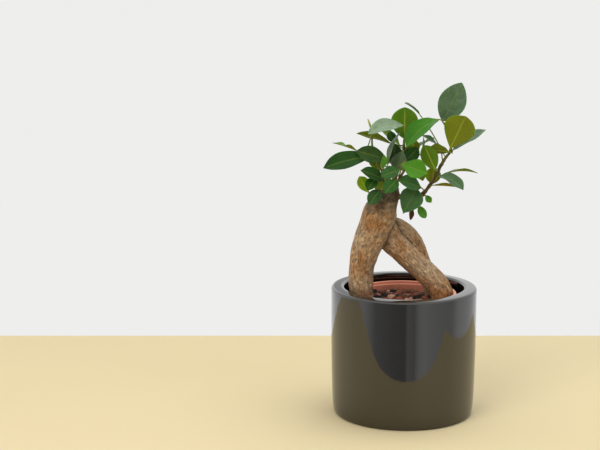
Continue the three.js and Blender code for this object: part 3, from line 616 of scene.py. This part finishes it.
def bud_material(colours):
    """Stipule that wraps a growing tip: smooth, waxy yellow-green with a reddish point."""
    material, tree = new_material("fig_bud_stipule")
    place = put(tree, "ShaderNodeTexCoord").outputs["Object"]
    tip = put(tree, "ShaderNodeAttribute", {"attribute_name": "tip"}).outputs["Fac"]
    streak = put(tree, "ShaderNodeTexNoise", None, {"Vector": place, "Scale": 500.0, "Detail": 3.0}).outputs["Fac"]
    tint = mixed(tree, streak, hex_linear("#8f9a22"), hex_linear("#bcc24a"))
    tint = mixed(tree, tip, tint, hex_linear("#8a4a24"))
    relief = put(tree, "ShaderNodeBump", None, {"Height": streak, "Strength": 0.3, "Distance": 0.0002})
    shader = put(tree, "ShaderNodeBsdfPrincipled", None,
                 {"Base Color": tint, "Roughness": 0.38, "IOR": 1.47, "Normal": relief.outputs[0]})
    finish_material(tree, shader.outputs[0])
    return material


def floor_material(pale):
    """Plain painted studio floor with a soft satin coat."""
    material, tree = new_material("studio_floor")
    place = put(tree, "ShaderNodeTexCoord").outputs["Object"]
    cloud = put(tree, "ShaderNodeTexNoise", None, {"Vector": place, "Scale": 3.0, "Detail": 3.0}).outputs["Fac"]
    worn = mixed(tree, 1.0, pale, (0.93, 0.9, 0.84, 1.0), "MULTIPLY")
    tint = mixed(tree, sums(tree, "MULTIPLY", cloud, 0.5), pale, worn)
    shader = put(tree, "ShaderNodeBsdfPrincipled", None, {"Base Color": tint, "Roughness": 0.32})
    finish_material(tree, shader.outputs[0])
    return material


# ---- operators ----
class BONSAI_OT_cover_pot(bpy.types.Operator):
    """Throw the cover pot: round foot, slightly swelling wall, broad and nearly flat rim"""

    bl_idname = "bonsai.cover_pot"
    bl_label = "Cover pot"

    def execute(self, context):
        sizes, colours = context.scene.bonsai_sizes, context.scene.bonsai_colours
        radius, height = POT_HIGH.x / MM, POT_HIGH.z / MM
        rim, edge, floor = sizes.rim_width / MM, sizes.rim_round / MM, sizes.pot_floor / MM
        foot, opening, inner = radius - sizes.foot_inset / MM, radius - rim, radius - sizes.pot_wall / MM
        side = smooth_line([(radius - 2.4, 6), (radius - 1.6, 16), (radius - 0.7, 45), (radius, 100),
                            (radius, height - 16)], 6)
        throat = smooth_line([(opening, height - 2), (opening, height - 7), (opening + 2, height - 11),
                              (inner - 0.5, height - 18), (inner, height - 30), (inner - 1, floor + 14)], 5)
        outline = [(foot - 3, 0.6), (foot - 2.2, 0), (foot - 0.5, 0), (foot + 0.8, 0.4), (foot + 2, 1.6),
                   (foot + 2.7, 3.2), *side]
        outline += arc(radius - edge, height - edge - 0.45, edge, 0, 84, 7)
        outline += [(radius - 0.3 * rim, height - 0.3), (opening + 0.5 * rim, height - 0.15),
                    (opening + 0.3 * rim, height)]
        outline += arc(opening + 2, height - 2.05, 2, 96, 176, 6)
        outline += [*throat[2:], *arc(inner - 11, floor + 10, 10, -6, -88, 6), (10, floor)]
        pot = throw(outline, 144)
        settle(pot, "thrown_cover_pot", "black_glaze", black_glaze(colours), "cover_pot", smooth=50)
        return {"FINISHED"}


DRAIN_HOLES = 6


class BONSAI_OT_nursery_pot(bpy.types.Operator):
    """Mould the plastic nursery pot: tapered thin wall, stepped lip, six drain holes"""

    bl_idname = "bonsai.nursery_pot"
    bl_label = "Nursery pot"

    def execute(self, context):
        sizes, colours = context.scene.bonsai_sizes, context.scene.bonsai_colours
        lip, top, low = NURSERY_HIGH.x / MM, NURSERY_HIGH.z / MM, NURSERY_LOW.z / MM
        wall, inner = sizes.nursery_wall / MM, lip - sizes.lip_width / MM
        band, under = top - 7, inner + 0.2
        foot = under - 11
        outline = [(foot - 7, low + 1.7), (foot - 5, low + 0.2), (foot - 4, low), (foot - 0.6, low),
                   (foot, low + 0.6), (under - 0.1, band - 0.4), (under + 0.3, band), (lip - 0.8, band + 0.1),
                   (lip - 0.4, band + 0.5), (lip - 0.1, top - 1.4)]
        outline += arc(lip - 0.8, top - 0.8, 0.8, 0, 84, 5)
        outline += arc(inner + 0.8, top - 0.8, 0.8, 96, 180, 5)
        outline += [(inner - 0.1, top - 2.2), (inner - 0.5, top - 2.9), (under - wall - 0.2, top - 3.3),
                    (under - wall - 0.9, top - 10), (foot - wall + 0.4, low + 6),
                    (foot - wall - 0.4, low + 3.8), (foot - wall - 2, low + 3), (8, low + 3)]
        pot = throw(outline, 120)
        deselect()
        reach = foot * 0.58
        for hole in range(DRAIN_HOLES):
            angle = 2 * math.pi * (hole + 0.5) / DRAIN_HOLES
            middle = Vector((reach * math.cos(angle), reach * math.sin(angle), low + 2)) * MM
            bpy.ops.mesh.primitive_cylinder_add(vertices=28, radius=4.5 * MM, depth=14 * MM, location=middle)
            cutter = context.object
            apply_modifier(pot, "BOOLEAN", operation="DIFFERENCE", solver="EXACT", object=cutter)
            bpy.data.objects.remove(cutter)
        settle(pot, "moulded_nursery_pot", "terracotta_plastic", nursery_plastic(colours), "nursery_pot",
               smooth=40)
        return {"FINISHED"}


LUMP_COUNT = 240
GOLDEN_ANGLE = 2.39996    # radians from one lump to the next, so that they lie evenly


def bed_height(x, y):
    """Height of the bed over its usual level, for a place in millimetres: heaped left of the
    middle, low at the back right."""
    heap = 2.2 * math.exp(-((x + 14) ** 2 + (y + 6) ** 2) / 500)
    return (heap - 1.6 * math.exp(-((x - 14) ** 2 + (y - 34) ** 2) / 600)) * MM


class BONSAI_OT_potting_mix(bpy.types.Operator):
    """Fill the nursery pot with a bed of potting mix and scatter its lumps"""

    bl_idname = "bonsai.potting_mix"
    bl_label = "Potting mix"

    def execute(self, context):
        sizes, colours = context.scene.bonsai_sizes, context.scene.bonsai_colours
        random.seed(5)
        radius, level = SOIL_HIGH.x / MM - 0.2, SOIL_LEVEL / MM
        rings = [(radius - 5.6, SOIL_LOW.z / MM), (radius, level - 1)]
        rings += [(radius * share, level) for share in (0.97, 0.85, 0.7, 0.55, 0.4, 0.25, 0.1)]
        bed = throw(rings, 72)
        places = vertex_places(bed)
        for place in places:
            if place[2] > SOIL_LEVEL - 0.5 * MM:
                rough = noise.fractal(Vector(place) * 160, 1.0, 2.0, 3) * 0.6 * MM
                place[2] += bed_height(place[0] / MM, place[1] / MM) + rough - 0.6 * MM
        move_vertices(bed, places)
        add_values(bed, "lump", np.zeros(len(places)))
        material = potting_lumps(colours)
        settle(bed, "bed_of_mix", "potting_mix", material, "potting_mix", smooth=60)

        shapes = [self.lump(variant) for variant in range(5)]
        scattered = []
        for k in range(LUMP_COUNT):
            reach = (radius - 2.2) * math.sqrt((k + 0.5) / LUMP_COUNT)
            angle = k * GOLDEN_ANGLE + random.uniform(-0.25, 0.25)
            x, y = reach * math.cos(angle), reach * math.sin(angle)
            size = sizes.lump_size * random.choice([0.55, 0.75, 0.9, 1.0, 1.2, 1.4])
            turn = Matrix.Rotation(random.uniform(0, RANDOM_TURN), 4, "Z")
            turn = turn @ Matrix.Rotation(random.uniform(0, RANDOM_TURN), 4, "X")
            height = SOIL_LEVEL + bed_height(x, y) + size * random.uniform(0.0, 0.25)
            copy = random.choice(shapes).copy()
            copy.data = copy.data.copy()
            place = Matrix.Translation((x * MM, y * MM, height))
            copy.data.transform(place @ turn @ Matrix.Diagonal((size * 1.1, size, size * 0.8, 1)))
            context.collection.objects.link(copy)
            add_values(copy, "lump", np.full(len(copy.data.vertices), random.random()))
            scattered.append(copy)
        for shape in shapes:
            bpy.data.objects.remove(shape)
        deselect()
        for lump in scattered:
            lump.select_set(True)
        context.view_layer.objects.active = scattered[0]
        bpy.ops.object.join()
        settle(context.object, "lumps_of_mix", "potting_mix", material)
        return {"FINISHED"}

    def lump(self, variant):
        """A rounded, uneven lump about one unit wide, with two dozen faces."""
        deselect()
        bpy.ops.mesh.primitive_cube_add(size=1)
        bpy.ops.object.mode_set(mode="EDIT")
        bpy.ops.mesh.select_all(action="SELECT")
        bpy.ops.mesh.subdivide(number_cuts=1)
        bpy.ops.transform.tosphere(value=0.75)
        bpy.ops.object.mode_set(mode="OBJECT")
        shape = bpy.context.object
        places = vertex_places(shape)
        for place in places:
            place *= 1 + 0.35 * noise.noise(Vector(place) * 1.7 + Vector((variant * 7, 0, 0)))
        move_vertices(shape, places * 0.62)
        return shape


# Centre lines of the trunk's legs: x, y, z and radius in millimetres, from the graft to the soil.
LEG_LINES = [
    [(-14.5, 2, 117, 8.6), (-15, 1, 109, 9.8), (-19.5, 0, 103, 14), (-24, 0, 95.5, 17.2),
     (-27.5, -1, 87.5, 17.6), (-31.5, -3, 75, 16.9), (-39.5, -7, 55, 14.9), (-44, -11, 34, 13.2),
     (-43.4, -13.5, 15, 12.4), (-39, -12.5, 2, 9.6), (-34, -12, -24, 5.5)],
    [(-19.5, 6, 76, 13.5), (-13, 5, 62.5, 13), (-2.5, 2, 52.5, 12), (10, -1, 42, 12), (22.5, -4, 31, 12),
     (32.8, -6, 21, 12.4), (39.6, -7, 5, 11.7), (34, -6, -23, 6)],
    [(-13.5, 8, 80, 8), (-3, 12, 74, 8.6), (7.5, 16, 64, 8.7), (14.5, 19, 50.5, 8.7), (18.5, 21, 38.5, 8.6),
     (24.5, 21.5, 23.5, 8.5), (29.5, 20, -8, 7), (28, 19, -20, 5)],
]


GRAIN_RADIUS = 11 * MM    # of the straight limb that the bark pattern is laid on
GRAFT_HEIGHT = 93 * MM    # over the soil, where the rough bark starts


class BONSAI_OT_trunk(bpy.types.Operator):
    """Grow the skin of the trunk: softened joints, swellings, wrinkles along each leg"""

    bl_idname = "bonsai.trunk"
    bl_label = "Trunk"

    def execute(self, context):
        sizes, colours = context.scene.bonsai_sizes, context.scene.bonsai_colours
        trunk = CAD["trunk"].copy()
        trunk.data = CAD["trunk"].data.copy()
        trunk.parent = None
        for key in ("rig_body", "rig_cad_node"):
            if key in trunk:
                del trunk[key]
        trunk.data.materials.clear()
        context.collection.objects.link(trunk)
        tidy_mesh(trunk, 1e-6)
        apply_modifier(trunk, "REMESH", mode="VOXEL", voxel_size=sizes.bark_voxel, use_smooth_shade=True)
        apply_modifier(trunk, "SMOOTH", factor=0.5, iterations=45)

        lines = []
        for line in LEG_LINES:
            dense = spaced(smooth_line(np.array(line, float), 12), 90)
            dense *= MM
            dense[:, 2] += SOIL_LEVEL
            lines.append(dense)
        places = vertex_places(trunk)
        normals = read_vectors(trunk.data.vertices, "normal")
        nearest = []
        for line in lines:
            gaps = np.linalg.norm(places[:, None, :] - line[None, :, :3], axis=2) - line[None, :, 3]
            best = gaps.argmin(axis=1)
            nearest.append((gaps[np.arange(len(places)), best], best))
        order = np.stack([gap for gap, _ in nearest], axis=1)
        owner = order.argmin(axis=1)
        ranked = np.sort(order, axis=1)
        # crease mask, high where a second leg is close: it dents the skin below and, stored on the mesh, masks the
        # painted shade in the creases
        crease_and_shade = np.exp(-np.maximum(ranked[:, 1] - ranked[:, 0], 0) / (1.3 * MM))
        grain = np.zeros_like(places)
        for k, line in enumerate(lines):
            mine = owner == k
            step = nearest[k][1][mine]
            tangent = unit(np.gradient(line[:, :3], axis=0))
            side = unit(np.cross(tangent, (0.0, 1.0, 0.0)))
            front = np.cross(side, tangent)
            offset = places[mine] - line[step, :3]
            along = line_lengths(line[:, :3])[step] + np.einsum("ij,ij->i", offset, tangent[step])
            around = np.arctan2(np.einsum("ij,ij->i", offset, front[step]),
                                np.einsum("ij,ij->i", offset, side[step]))
            grain[mine] = np.stack([GRAIN_RADIUS * np.cos(around), GRAIN_RADIUS * np.sin(around),
                                    along + 0.31 * k], axis=1)
        graft = np.clip((places[:, 2] - (SOIL_LEVEL + GRAFT_HEIGHT)) / (18 * MM), 0, 1)
        foot = np.clip(1 - (places[:, 2] - SOIL_LEVEL) / (38 * MM), 0, 1) * np.where(owner == 1, 1.0, 0.45)
        rise = np.zeros(len(places))
        for k, point in enumerate(grain):
            g = Vector(point)
            swell = noise.fractal(Vector((g.x, g.y, g.z * 0.6)) * 75, 1.0, 2.0, 2)
            wrinkle = noise.fractal(Vector((g.x, g.y, g.z * 0.22)) * 430, 0.9, 2.0, 2)
            crack = noise.fractal(g * 240 + Vector((4, 0, 0)), 0.8, 2.2, 3)
            rise[k] = (0.55 * MM * swell + sizes.wrinkle_depth * wrinkle * (1 - 0.3 * graft[k])
                       + 0.9 * MM * crack * graft[k])
        rise -= 0.7 * MM * crease_and_shade
        hidden = places[:, 2] < SOIL_LEVEL - 4 * MM
        rise[hidden] = np.minimum(rise[hidden], 0)
        beside_lip = places[:, 2] < NURSERY_HIGH.z + 1.0 * MM
        rise[beside_lip] *= 0.35
        move_vertices(trunk, places + normals * rise[:, None])
        ragged = np.array([noise.fractal(Vector(p) * 130, 1.0, 2.0, 3) for p in places])
        add_values(trunk, "grain", grain)
        # mask of the painted shade in the creases
        add_values(trunk, "crease_and_shade", crease_and_shade)
        add_values(trunk, "old_bark", np.clip(graft * 1.5 + ragged * 0.6 * (graft > 0), 0, 1) * 0.9)
        add_values(trunk, "foot", foot)
        settle(trunk, "grown_trunk", "bark", fig_bark(colours), "trunk")
        return {"FINISHED"}


def tube(points, radii, sides):
    """A closed tube along points, made from a path with a round bevel."""
    deselect()
    bpy.ops.curve.primitive_bezier_curve_add()
    path = bpy.context.object
    path.data.splines.clear()
    spline = path.data.splines.new("POLY")
    spline.points.add(len(points) - 1)
    for point, place, radius in zip(spline.points, points, radii):
        point.co = (*place, 1)
        point.radius = radius
    path.data.dimensions = "3D"
    path.data.bevel_depth = 1.0
    path.data.bevel_resolution = sides
    path.data.use_fill_caps = True
    take(path)
    bpy.ops.object.convert(target="MESH")
    made = bpy.context.object
    tidy_mesh(made, 1e-6)
    return made


class BONSAI_OT_shoots(bpy.types.Operator):
    """Draw the shoots with swollen nodes and leaf scars"""

    bl_idname = "bonsai.shoots"
    bl_label = "Shoots"

    def execute(self, context):
        colours = context.scene.bonsai_colours
        material = twig_bark(colours)
        stalks = np.array([rings_of(name, THIN_SIDES)[0].mean(axis=0) for name in LEAVES])
        for name in SHOOTS:
            rings = rings_of(name, THIN_SIDES if name == "shoot_low" else THICK_SIDES)
            line = np.array([[*ring.mean(axis=0), np.linalg.norm(ring - ring.mean(axis=0), axis=1).mean()]
                             for ring in rings[:-1]])
            step = line[1] - line[0]
            start = line[0] - step / np.linalg.norm(step[:3]) * 5 * MM
            start[3] = line[0, 3] * 1.15
            if name == "shoot_low":
                start = line[0] * 0.5 + start * 0.5
                start[3] = line[0, 3]
            line = np.vstack([start, line])
            count = int(line_lengths(line[:, :3])[-1] / (0.8 * MM))
            line = spaced(smooth_line(line, 8), count)
            gaps = np.linalg.norm(line[:, None, :3] - stalks[None], axis=2).min(axis=1)
            swelling = 0.28 * np.exp(-np.maximum(gaps - line[:, 3], 0) ** 2 / (1.6 * MM) ** 2)
            wobble = np.array([noise.noise(Vector(p[:3]) * 260) for p in line]) * 0.10
            radii = 0.84 * line[:, 3] * (1 + swelling + wobble)
            radii[-3:] *= (0.9, 0.7, 0.35)
            twig = tube(line[:, :3], radii, 4)
            places = vertex_places(twig)
            nearest = np.linalg.norm(places[:, None] - line[None, :, :3], axis=2).argmin(axis=1)
            add_values(twig, "scar", np.clip(swelling[nearest] * 3.2, 0, 1))
            settle(twig, name.replace("shoot", "twig"), "shoot_bark", material, name, smooth=60)
        return {"FINISHED"}


BLADE_RINGS = 9                                   # rings of a CAD leaf that belong to its blade
COLUMNS, STALK_ROWS, BLADE_ROWS = 12, 8, 24       # of the grid that a leaf is grown from
FOLD = math.radians(14)                           # each half of a blade rises by this angle
POINT_START = 0.86                                # share of the blade where its point begins


def leaf_axes(rings):
    """Midrib points, side direction, upper direction and width of a leaf's rings."""
    widest = max(rings, key=lambda ring: np.ptp(ring, axis=0).max())
    middle = widest.mean(axis=0)
    side = np.linalg.svd(widest - middle)[2][0]
    ranked = np.argsort(np.abs((widest - middle) @ side))
    up = widest[ranked[2:]].mean(axis=0) - widest[ranked[:2]].mean(axis=0)
    up = unit(up - side * (up @ side))
    width = np.ptp(widest @ side) / math.cos(FOLD)
    nearest = [np.argsort(np.abs((ring - ring.mean(axis=0)) @ side))[:2] for ring in rings]
    return np.array([ring[near].mean(axis=0) for ring, near in zip(rings, nearest)]), side, up, width


class BONSAI_OT_leaves(bpy.types.Operator):
    """Grow each leaf: a folded, veined blade on its stalk, with its own age and shape"""

    bl_idname = "bonsai.leaves"
    bl_label = "Leaves"

    def execute(self, context):
        colours = context.scene.bonsai_colours
        skins = {"leaf": leaf_material(colours, "waxy_fig_leaf"),
                 "leaf_young": leaf_material(colours, "new_fig_leaf"),
                 "leaf_dry": leaf_material(colours, "dried_fig_leaf", dried=True)}
        random.seed(3)
        for name in LEAVES:
            piece = self.grow(context, name, LEAF_HABITS.get(name, {}))
            slot = "leaf_dry" if name in DRIED else "leaf_young" if name in YOUNG else "leaf"
            settle(piece, name.replace("leaf", "blade"), slot, skins[slot], name)
        return {"FINISHED"}

    def grow(self, context, name, habit):
        """Bends a grid along the ribs of the CAD leaf, gives it thickness and stores its values."""
        thickness = context.scene.bonsai_sizes.blade_thickness
        ribs, side, up, width = leaf_axes(rings_of(name, THIN_SIDES))
        foot = len(ribs) - BLADE_RINGS
        root = ribs[0] + unit(ribs[0] - ribs[1]) * 1.1 * MM
        stalk = spaced(smooth_line(np.vstack([root, ribs[:foot + 1]]), 8), STALK_ROWS + 1)
        blade = spaced(smooth_line(ribs[foot:], 8), BLADE_ROWS + 1)
        line = np.vstack([stalk[:-1], blade])
        tangents = unit(np.gradient(line, axis=0))
        blade_length = line_lengths(blade)[-1]
        belly = habit.get("belly", random.uniform(1.0, 1.15))
        fullness = habit.get("round", random.uniform(0.65, 0.8))
        wave = habit.get("wave", random.uniform(0.3, 0.8)) * MM
        twist = math.radians(habit.get("twist", random.uniform(-8, 8)))
        phase, waves = random.uniform(0, RANDOM_TURN), random.uniform(1.3, 2.4)
        tip = habit.get("tip", random.uniform(0.3, 0.6))
        rows = STALK_ROWS + BLADE_ROWS

        deselect()
        bpy.ops.mesh.primitive_grid_add(x_subdivisions=COLUMNS, y_subdivisions=rows, size=2)
        piece = context.object
        group = piece.vertex_groups.new(name="thickness")
        places = vertex_places(piece)
        stored = {"blade": [], "flat": [], "upper": []}
        for index, place in enumerate(places):
            across = math.copysign(abs(place[0]) ** 1.25, place[0])
            row = round((place[1] + 1) / 2 * rows)
            share = max(0.0, (row - STALK_ROWS) / BLADE_ROWS)
            tangent = tangents[row]
            flank = unit(side - tangent * (side @ tangent))
            normal = np.cross(flank, tangent)
            normal *= math.copysign(1, normal @ up) if abs(normal @ up) > 0.05 else 1
            turn = twist * share
            flank, normal = (flank * math.cos(turn) + normal * math.sin(turn),
                             normal * math.cos(turn) - flank * math.sin(turn))
            half = 0.5 * width * math.sin(math.pi * min(share, 0.9999) ** belly) ** fullness
            if share > POINT_START:
                half *= 1 - 0.75 * tip * ((share - POINT_START) / (1 - POINT_START)) ** 1.3
            half = max(half, 0.62 * MM if share < 0.5 else 0.22 * MM)
            fold = FOLD * min(1, share * 6)
            beat = phase + waves * 2 * math.pi * share + (1.7 if across > 0 else 0)
            rise = half * math.sin(fold) * abs(across) ** 1.45
            rise += wave * across ** 2 * math.sin(beat) * math.sin(math.pi * share)
            rise -= 0.25 * MM * math.exp(-(across * half / (0.5 * MM)) ** 2) * min(1, share * 5) * (1 - share)
            places[index] = line[row] + flank * (across * half * math.cos(fold)) + normal * rise
            if share == 0:
                weight = 1.0 - 0.25 * abs(across)
            else:
                weight = 0.55 - 0.3 * abs(across) ** 2 - 0.1 * share
                weight = max(weight, (1.0 - 0.25 * abs(across)) * (1 - share * 12))
            group.add([index], weight, "REPLACE")
            stored["blade"].append((across, share, 0))
            stored["flat"].append((across * half, share * blade_length, 0))
            stored["upper"].append(normal)
        move_vertices(piece, places)
        for key, values in stored.items():
            add_values(piece, key, values)
        apply_modifier(piece, "SOLIDIFY", thickness=thickness / 0.5 * 0.8, offset=0.0,
                       vertex_group="thickness", use_even_offset=False)
        apply_modifier(piece, "SUBSURF", levels=1, render_levels=1)
        tidy_mesh(piece, 1e-7)
        piece.vertex_groups.clear()
        count = len(piece.data.vertices)
        upper = read_vectors(piece.data.attributes["upper"].data, "vector")
        facing = (read_vectors(piece.data.vertices, "normal") * upper).sum(axis=1)
        piece.data.attributes.remove(piece.data.attributes["upper"])
        add_values(piece, "underside", np.clip(0.5 - 2 * facing, 0, 1))
        values = (habit.get("age", random.uniform(0.1, 0.4)), habit.get("warm", 0.0), random.random())
        add_values(piece, "habit", np.tile(values, (count, 1)))
        # share of the painted grey sheen on the upper side
        add_values(piece, "painted_sheen", np.full(count, habit.get("painted_sheen", random.uniform(0.0, 0.1))))
        return piece


class BONSAI_OT_buds(bpy.types.Operator):
    """Shape the growing tips as rolled, pointed stipules"""

    bl_idname = "bonsai.buds"
    bl_label = "Buds"

    def execute(self, context):
        material = bud_material(context.scene.bonsai_colours)
        for name in BUDS:
            rings = rings_of(name, THIN_SIDES)
            line = np.array([ring.mean(axis=0) for ring in rings])
            reach = np.ptp(np.vstack(rings), axis=0).min() / 2
            line[0] -= unit(line[1] - line[0]) * 1.2 * MM
            line = spaced(smooth_line(line, 6), 26)
            shares = np.linspace(0, 1, len(line))
            radii = reach * 0.9 * np.sin(np.pi * (0.12 + 0.86 * shares) ** 0.9) ** 0.8 + 0.08 * MM
            bud = tube(line, radii, 4)
            places = vertex_places(bud)
            nearest = np.linalg.norm(places[:, None] - line[None], axis=2).argmin(axis=1)
            centres = line[nearest]
            offset = places - centres
            spin = np.arctan2(offset[:, 1], offset[:, 0]) + shares[nearest] * 5
            ridge = 1 + 0.16 * np.maximum(np.sin(spin), 0) ** 3
            move_vertices(bud, centres + offset * ridge[:, None])
            add_values(bud, "tip", np.clip((shares[nearest] - 0.7) / 0.3, 0, 1))
            settle(bud, name.replace("bud", "stipule"), "bud_skin", material, name, smooth=60)
        return {"FINISHED"}


CAMERA_TURN = math.radians(3.81)      # the floors turn with the camera
CAMERA_DIP = math.radians(10.76)
LAMPS_AIM = Vector((0, 0, 0.17))


class BONSAI_OT_stage(bpy.types.Operator):
    """Set the plain floor, the soft studio light and the camera"""

    bl_idname = "bonsai.stage"
    bl_label = "Stage"

    def execute(self, context):
        scene = context.scene
        scene.view_settings.view_transform = "Standard"
        # a wide floor that the camera sees, and a smaller one, as wide as a shelf, for the glaze to mirror
        floor = self.sheet("studio_floor", (-3.0, -3.0), (3.0, 0.306), 0.1 * MM,
                           floor_material(scene.bonsai_colours.floor))
        floor.visible_glossy = False
        mirrored = self.sheet("mirrored_floor", (-1.6, -0.232), (0.385, 0.306), 0.05 * MM,
                              floor_material(hex_linear("#d2c08c")))
        for kind in ("visible_camera", "visible_diffuse", "visible_shadow", "visible_transmission"):
            setattr(mirrored, kind, False)
        self.lamp("key_softbox", (-0.9, -1.5, 1.7), 1.1, 20.0, "#fff8ee")
        self.lamp("top_softbox", (0.3, 0.2, 1.9), 1.3, 15.0, "#ffffff")
        self.lamp("fill_softbox", (1.6, -1.1, 0.9), 1.0, 3.5, "#f4f7ff")
        self.sky(scene)
        bpy.ops.object.camera_add(location=(0, -1.613, 0.503),
                                  rotation=(math.radians(90) - CAMERA_DIP, 0, CAMERA_TURN))
        camera = context.object
        camera.data.lens = 96
        camera.data.sensor_width = 36
        scene.camera = camera
        return {"FINISHED"}

    def sheet(self, name, low, high, depth, material):
        deselect()
        middle = Vector(((low[0] + high[0]) / 2, (low[1] + high[1]) / 2, -depth))
        bpy.ops.mesh.primitive_plane_add(size=1, location=Matrix.Rotation(CAMERA_TURN, 3, "Z") @ middle,
                                         rotation=(0, 0, CAMERA_TURN))
        piece = bpy.context.object
        piece.scale = (high[0] - low[0], high[1] - low[1], 1)
        bpy.ops.object.transform_apply(location=True, rotation=True, scale=True)
        piece.name = name
        piece.data.materials.append(material)
        return piece

    def lamp(self, name, place, size, power, tint):
        deselect()
        bpy.ops.object.light_add(type="AREA", location=place)
        lamp = bpy.context.object
        lamp.name = name
        lamp.data.size = size
        lamp.data.energy = power
        lamp.data.color = hex_linear(tint)[:3]
        aim = LAMPS_AIM - Vector(place)
        lamp.rotation_euler = aim.to_track_quat("-Z", "Y").to_euler()
        lamp.visible_glossy = False

    def sky(self, scene):
        """A pale wall all round for the camera. For light and mirrors, a room that is pale behind
        and above, dim in front on the left and brighter on the right."""
        world = bpy.data.worlds.new("studio")
        scene.world = world
        world.use_nodes = True
        tree = world.node_tree
        tree.nodes.clear()
        way = put(tree, "ShaderNodeTexCoord").outputs["Generated"]
        axes = put(tree, "ShaderNodeSeparateXYZ", None, {0: way})
        sideways = put(tree, "ShaderNodeMapRange", None, {"Value": axes.outputs["X"], "From Min": -1.0, "From Max": 1.0})
        front = put(tree, "ShaderNodeValToRGB", None, {"Fac": sideways.outputs[0]},
                    [(0.0, 0.62), (0.05, 0.72), (0.16, 0.33), (0.36, 0.23), (0.52, 0.2), (0.56, 0.4), (0.64, 0.34),
                     (0.7, 0.62), (0.76, 0.7), (0.93, 0.56), (1.0, 0.5)]).outputs["Color"]
        rear = put(tree, "ShaderNodeValToRGB", None, {"Fac": sideways.outputs[0]},
                   [(0.0, 0.9), (0.23, 1.15), (0.44, 1.15), (0.455, 0.62), (0.48, 0.62), (0.5, 1.15), (0.66, 1.1),
                    (0.9, 0.8)]).outputs["Color"]
        behind = put(tree, "ShaderNodeMapRange", None, {"Value": axes.outputs["Y"], "From Min": -0.15,
                                                        "From Max": 0.1}).outputs[0]
        ring = mixed(tree, behind, front, rear)
        above = put(tree, "ShaderNodeMapRange", None, {"Value": axes.outputs["Z"], "From Min": 0.35,
                                                       "From Max": 0.6}).outputs[0]
        room = mixed(tree, above, ring, (0.85, 0.85, 0.85, 1.0))
        rays = put(tree, "ShaderNodeLightPath").outputs
        shown = mixed(tree, rays["Is Camera Ray"], room, hex_linear("#eeeeed"))
        strength = sums(tree, "SUBTRACT", 1.0, sums(tree, "MULTIPLY", rays["Is Diffuse Ray"], 0.34))
        shader = put(tree, "ShaderNodeBackground", None, {"Color": shown, "Strength": strength})
        put(tree, "ShaderNodeOutputWorld", None, {"Surface": shader.outputs[0]})


class BONSAI_PT_panel(bpy.types.Panel):
    """Lists the pieces and their settings."""

    bl_idname = "BONSAI_PT_panel"
    bl_label = "Potted ginseng fig"
    bl_space_type = "VIEW_3D"
    bl_region_type = "UI"
    bl_category = "Bonsai"

    def draw(self, context):
        for operator in OPERATORS:
            self.layout.operator(operator.bl_idname)
        for group in (context.scene.bonsai_sizes, context.scene.bonsai_colours):
            for key in group.__annotations__:
                self.layout.prop(group, key)


OPERATORS = (BONSAI_OT_cover_pot, BONSAI_OT_nursery_pot, BONSAI_OT_potting_mix, BONSAI_OT_trunk,
             BONSAI_OT_shoots, BONSAI_OT_leaves, BONSAI_OT_buds, BONSAI_OT_stage)
CLASSES = (BonsaiSizes, BonsaiColours, *OPERATORS, BONSAI_PT_panel)


def register():
    for item in CLASSES:
        bpy.utils.register_class(item)
    bpy.types.Scene.bonsai_sizes = bpy.props.PointerProperty(type=BonsaiSizes)
    bpy.types.Scene.bonsai_colours = bpy.props.PointerProperty(type=BonsaiColours)


def unregister():
    del bpy.types.Scene.bonsai_colours
    del bpy.types.Scene.bonsai_sizes
    for item in reversed(CLASSES):
        bpy.utils.unregister_class(item)


def main():
    register()
    for step in ("stage", "cover_pot", "nursery_pot", "potting_mix", "trunk", "shoots", "leaves", "buds"):
        getattr(bpy.ops.bonsai, step)()


if __name__ == "__main__":
    main()
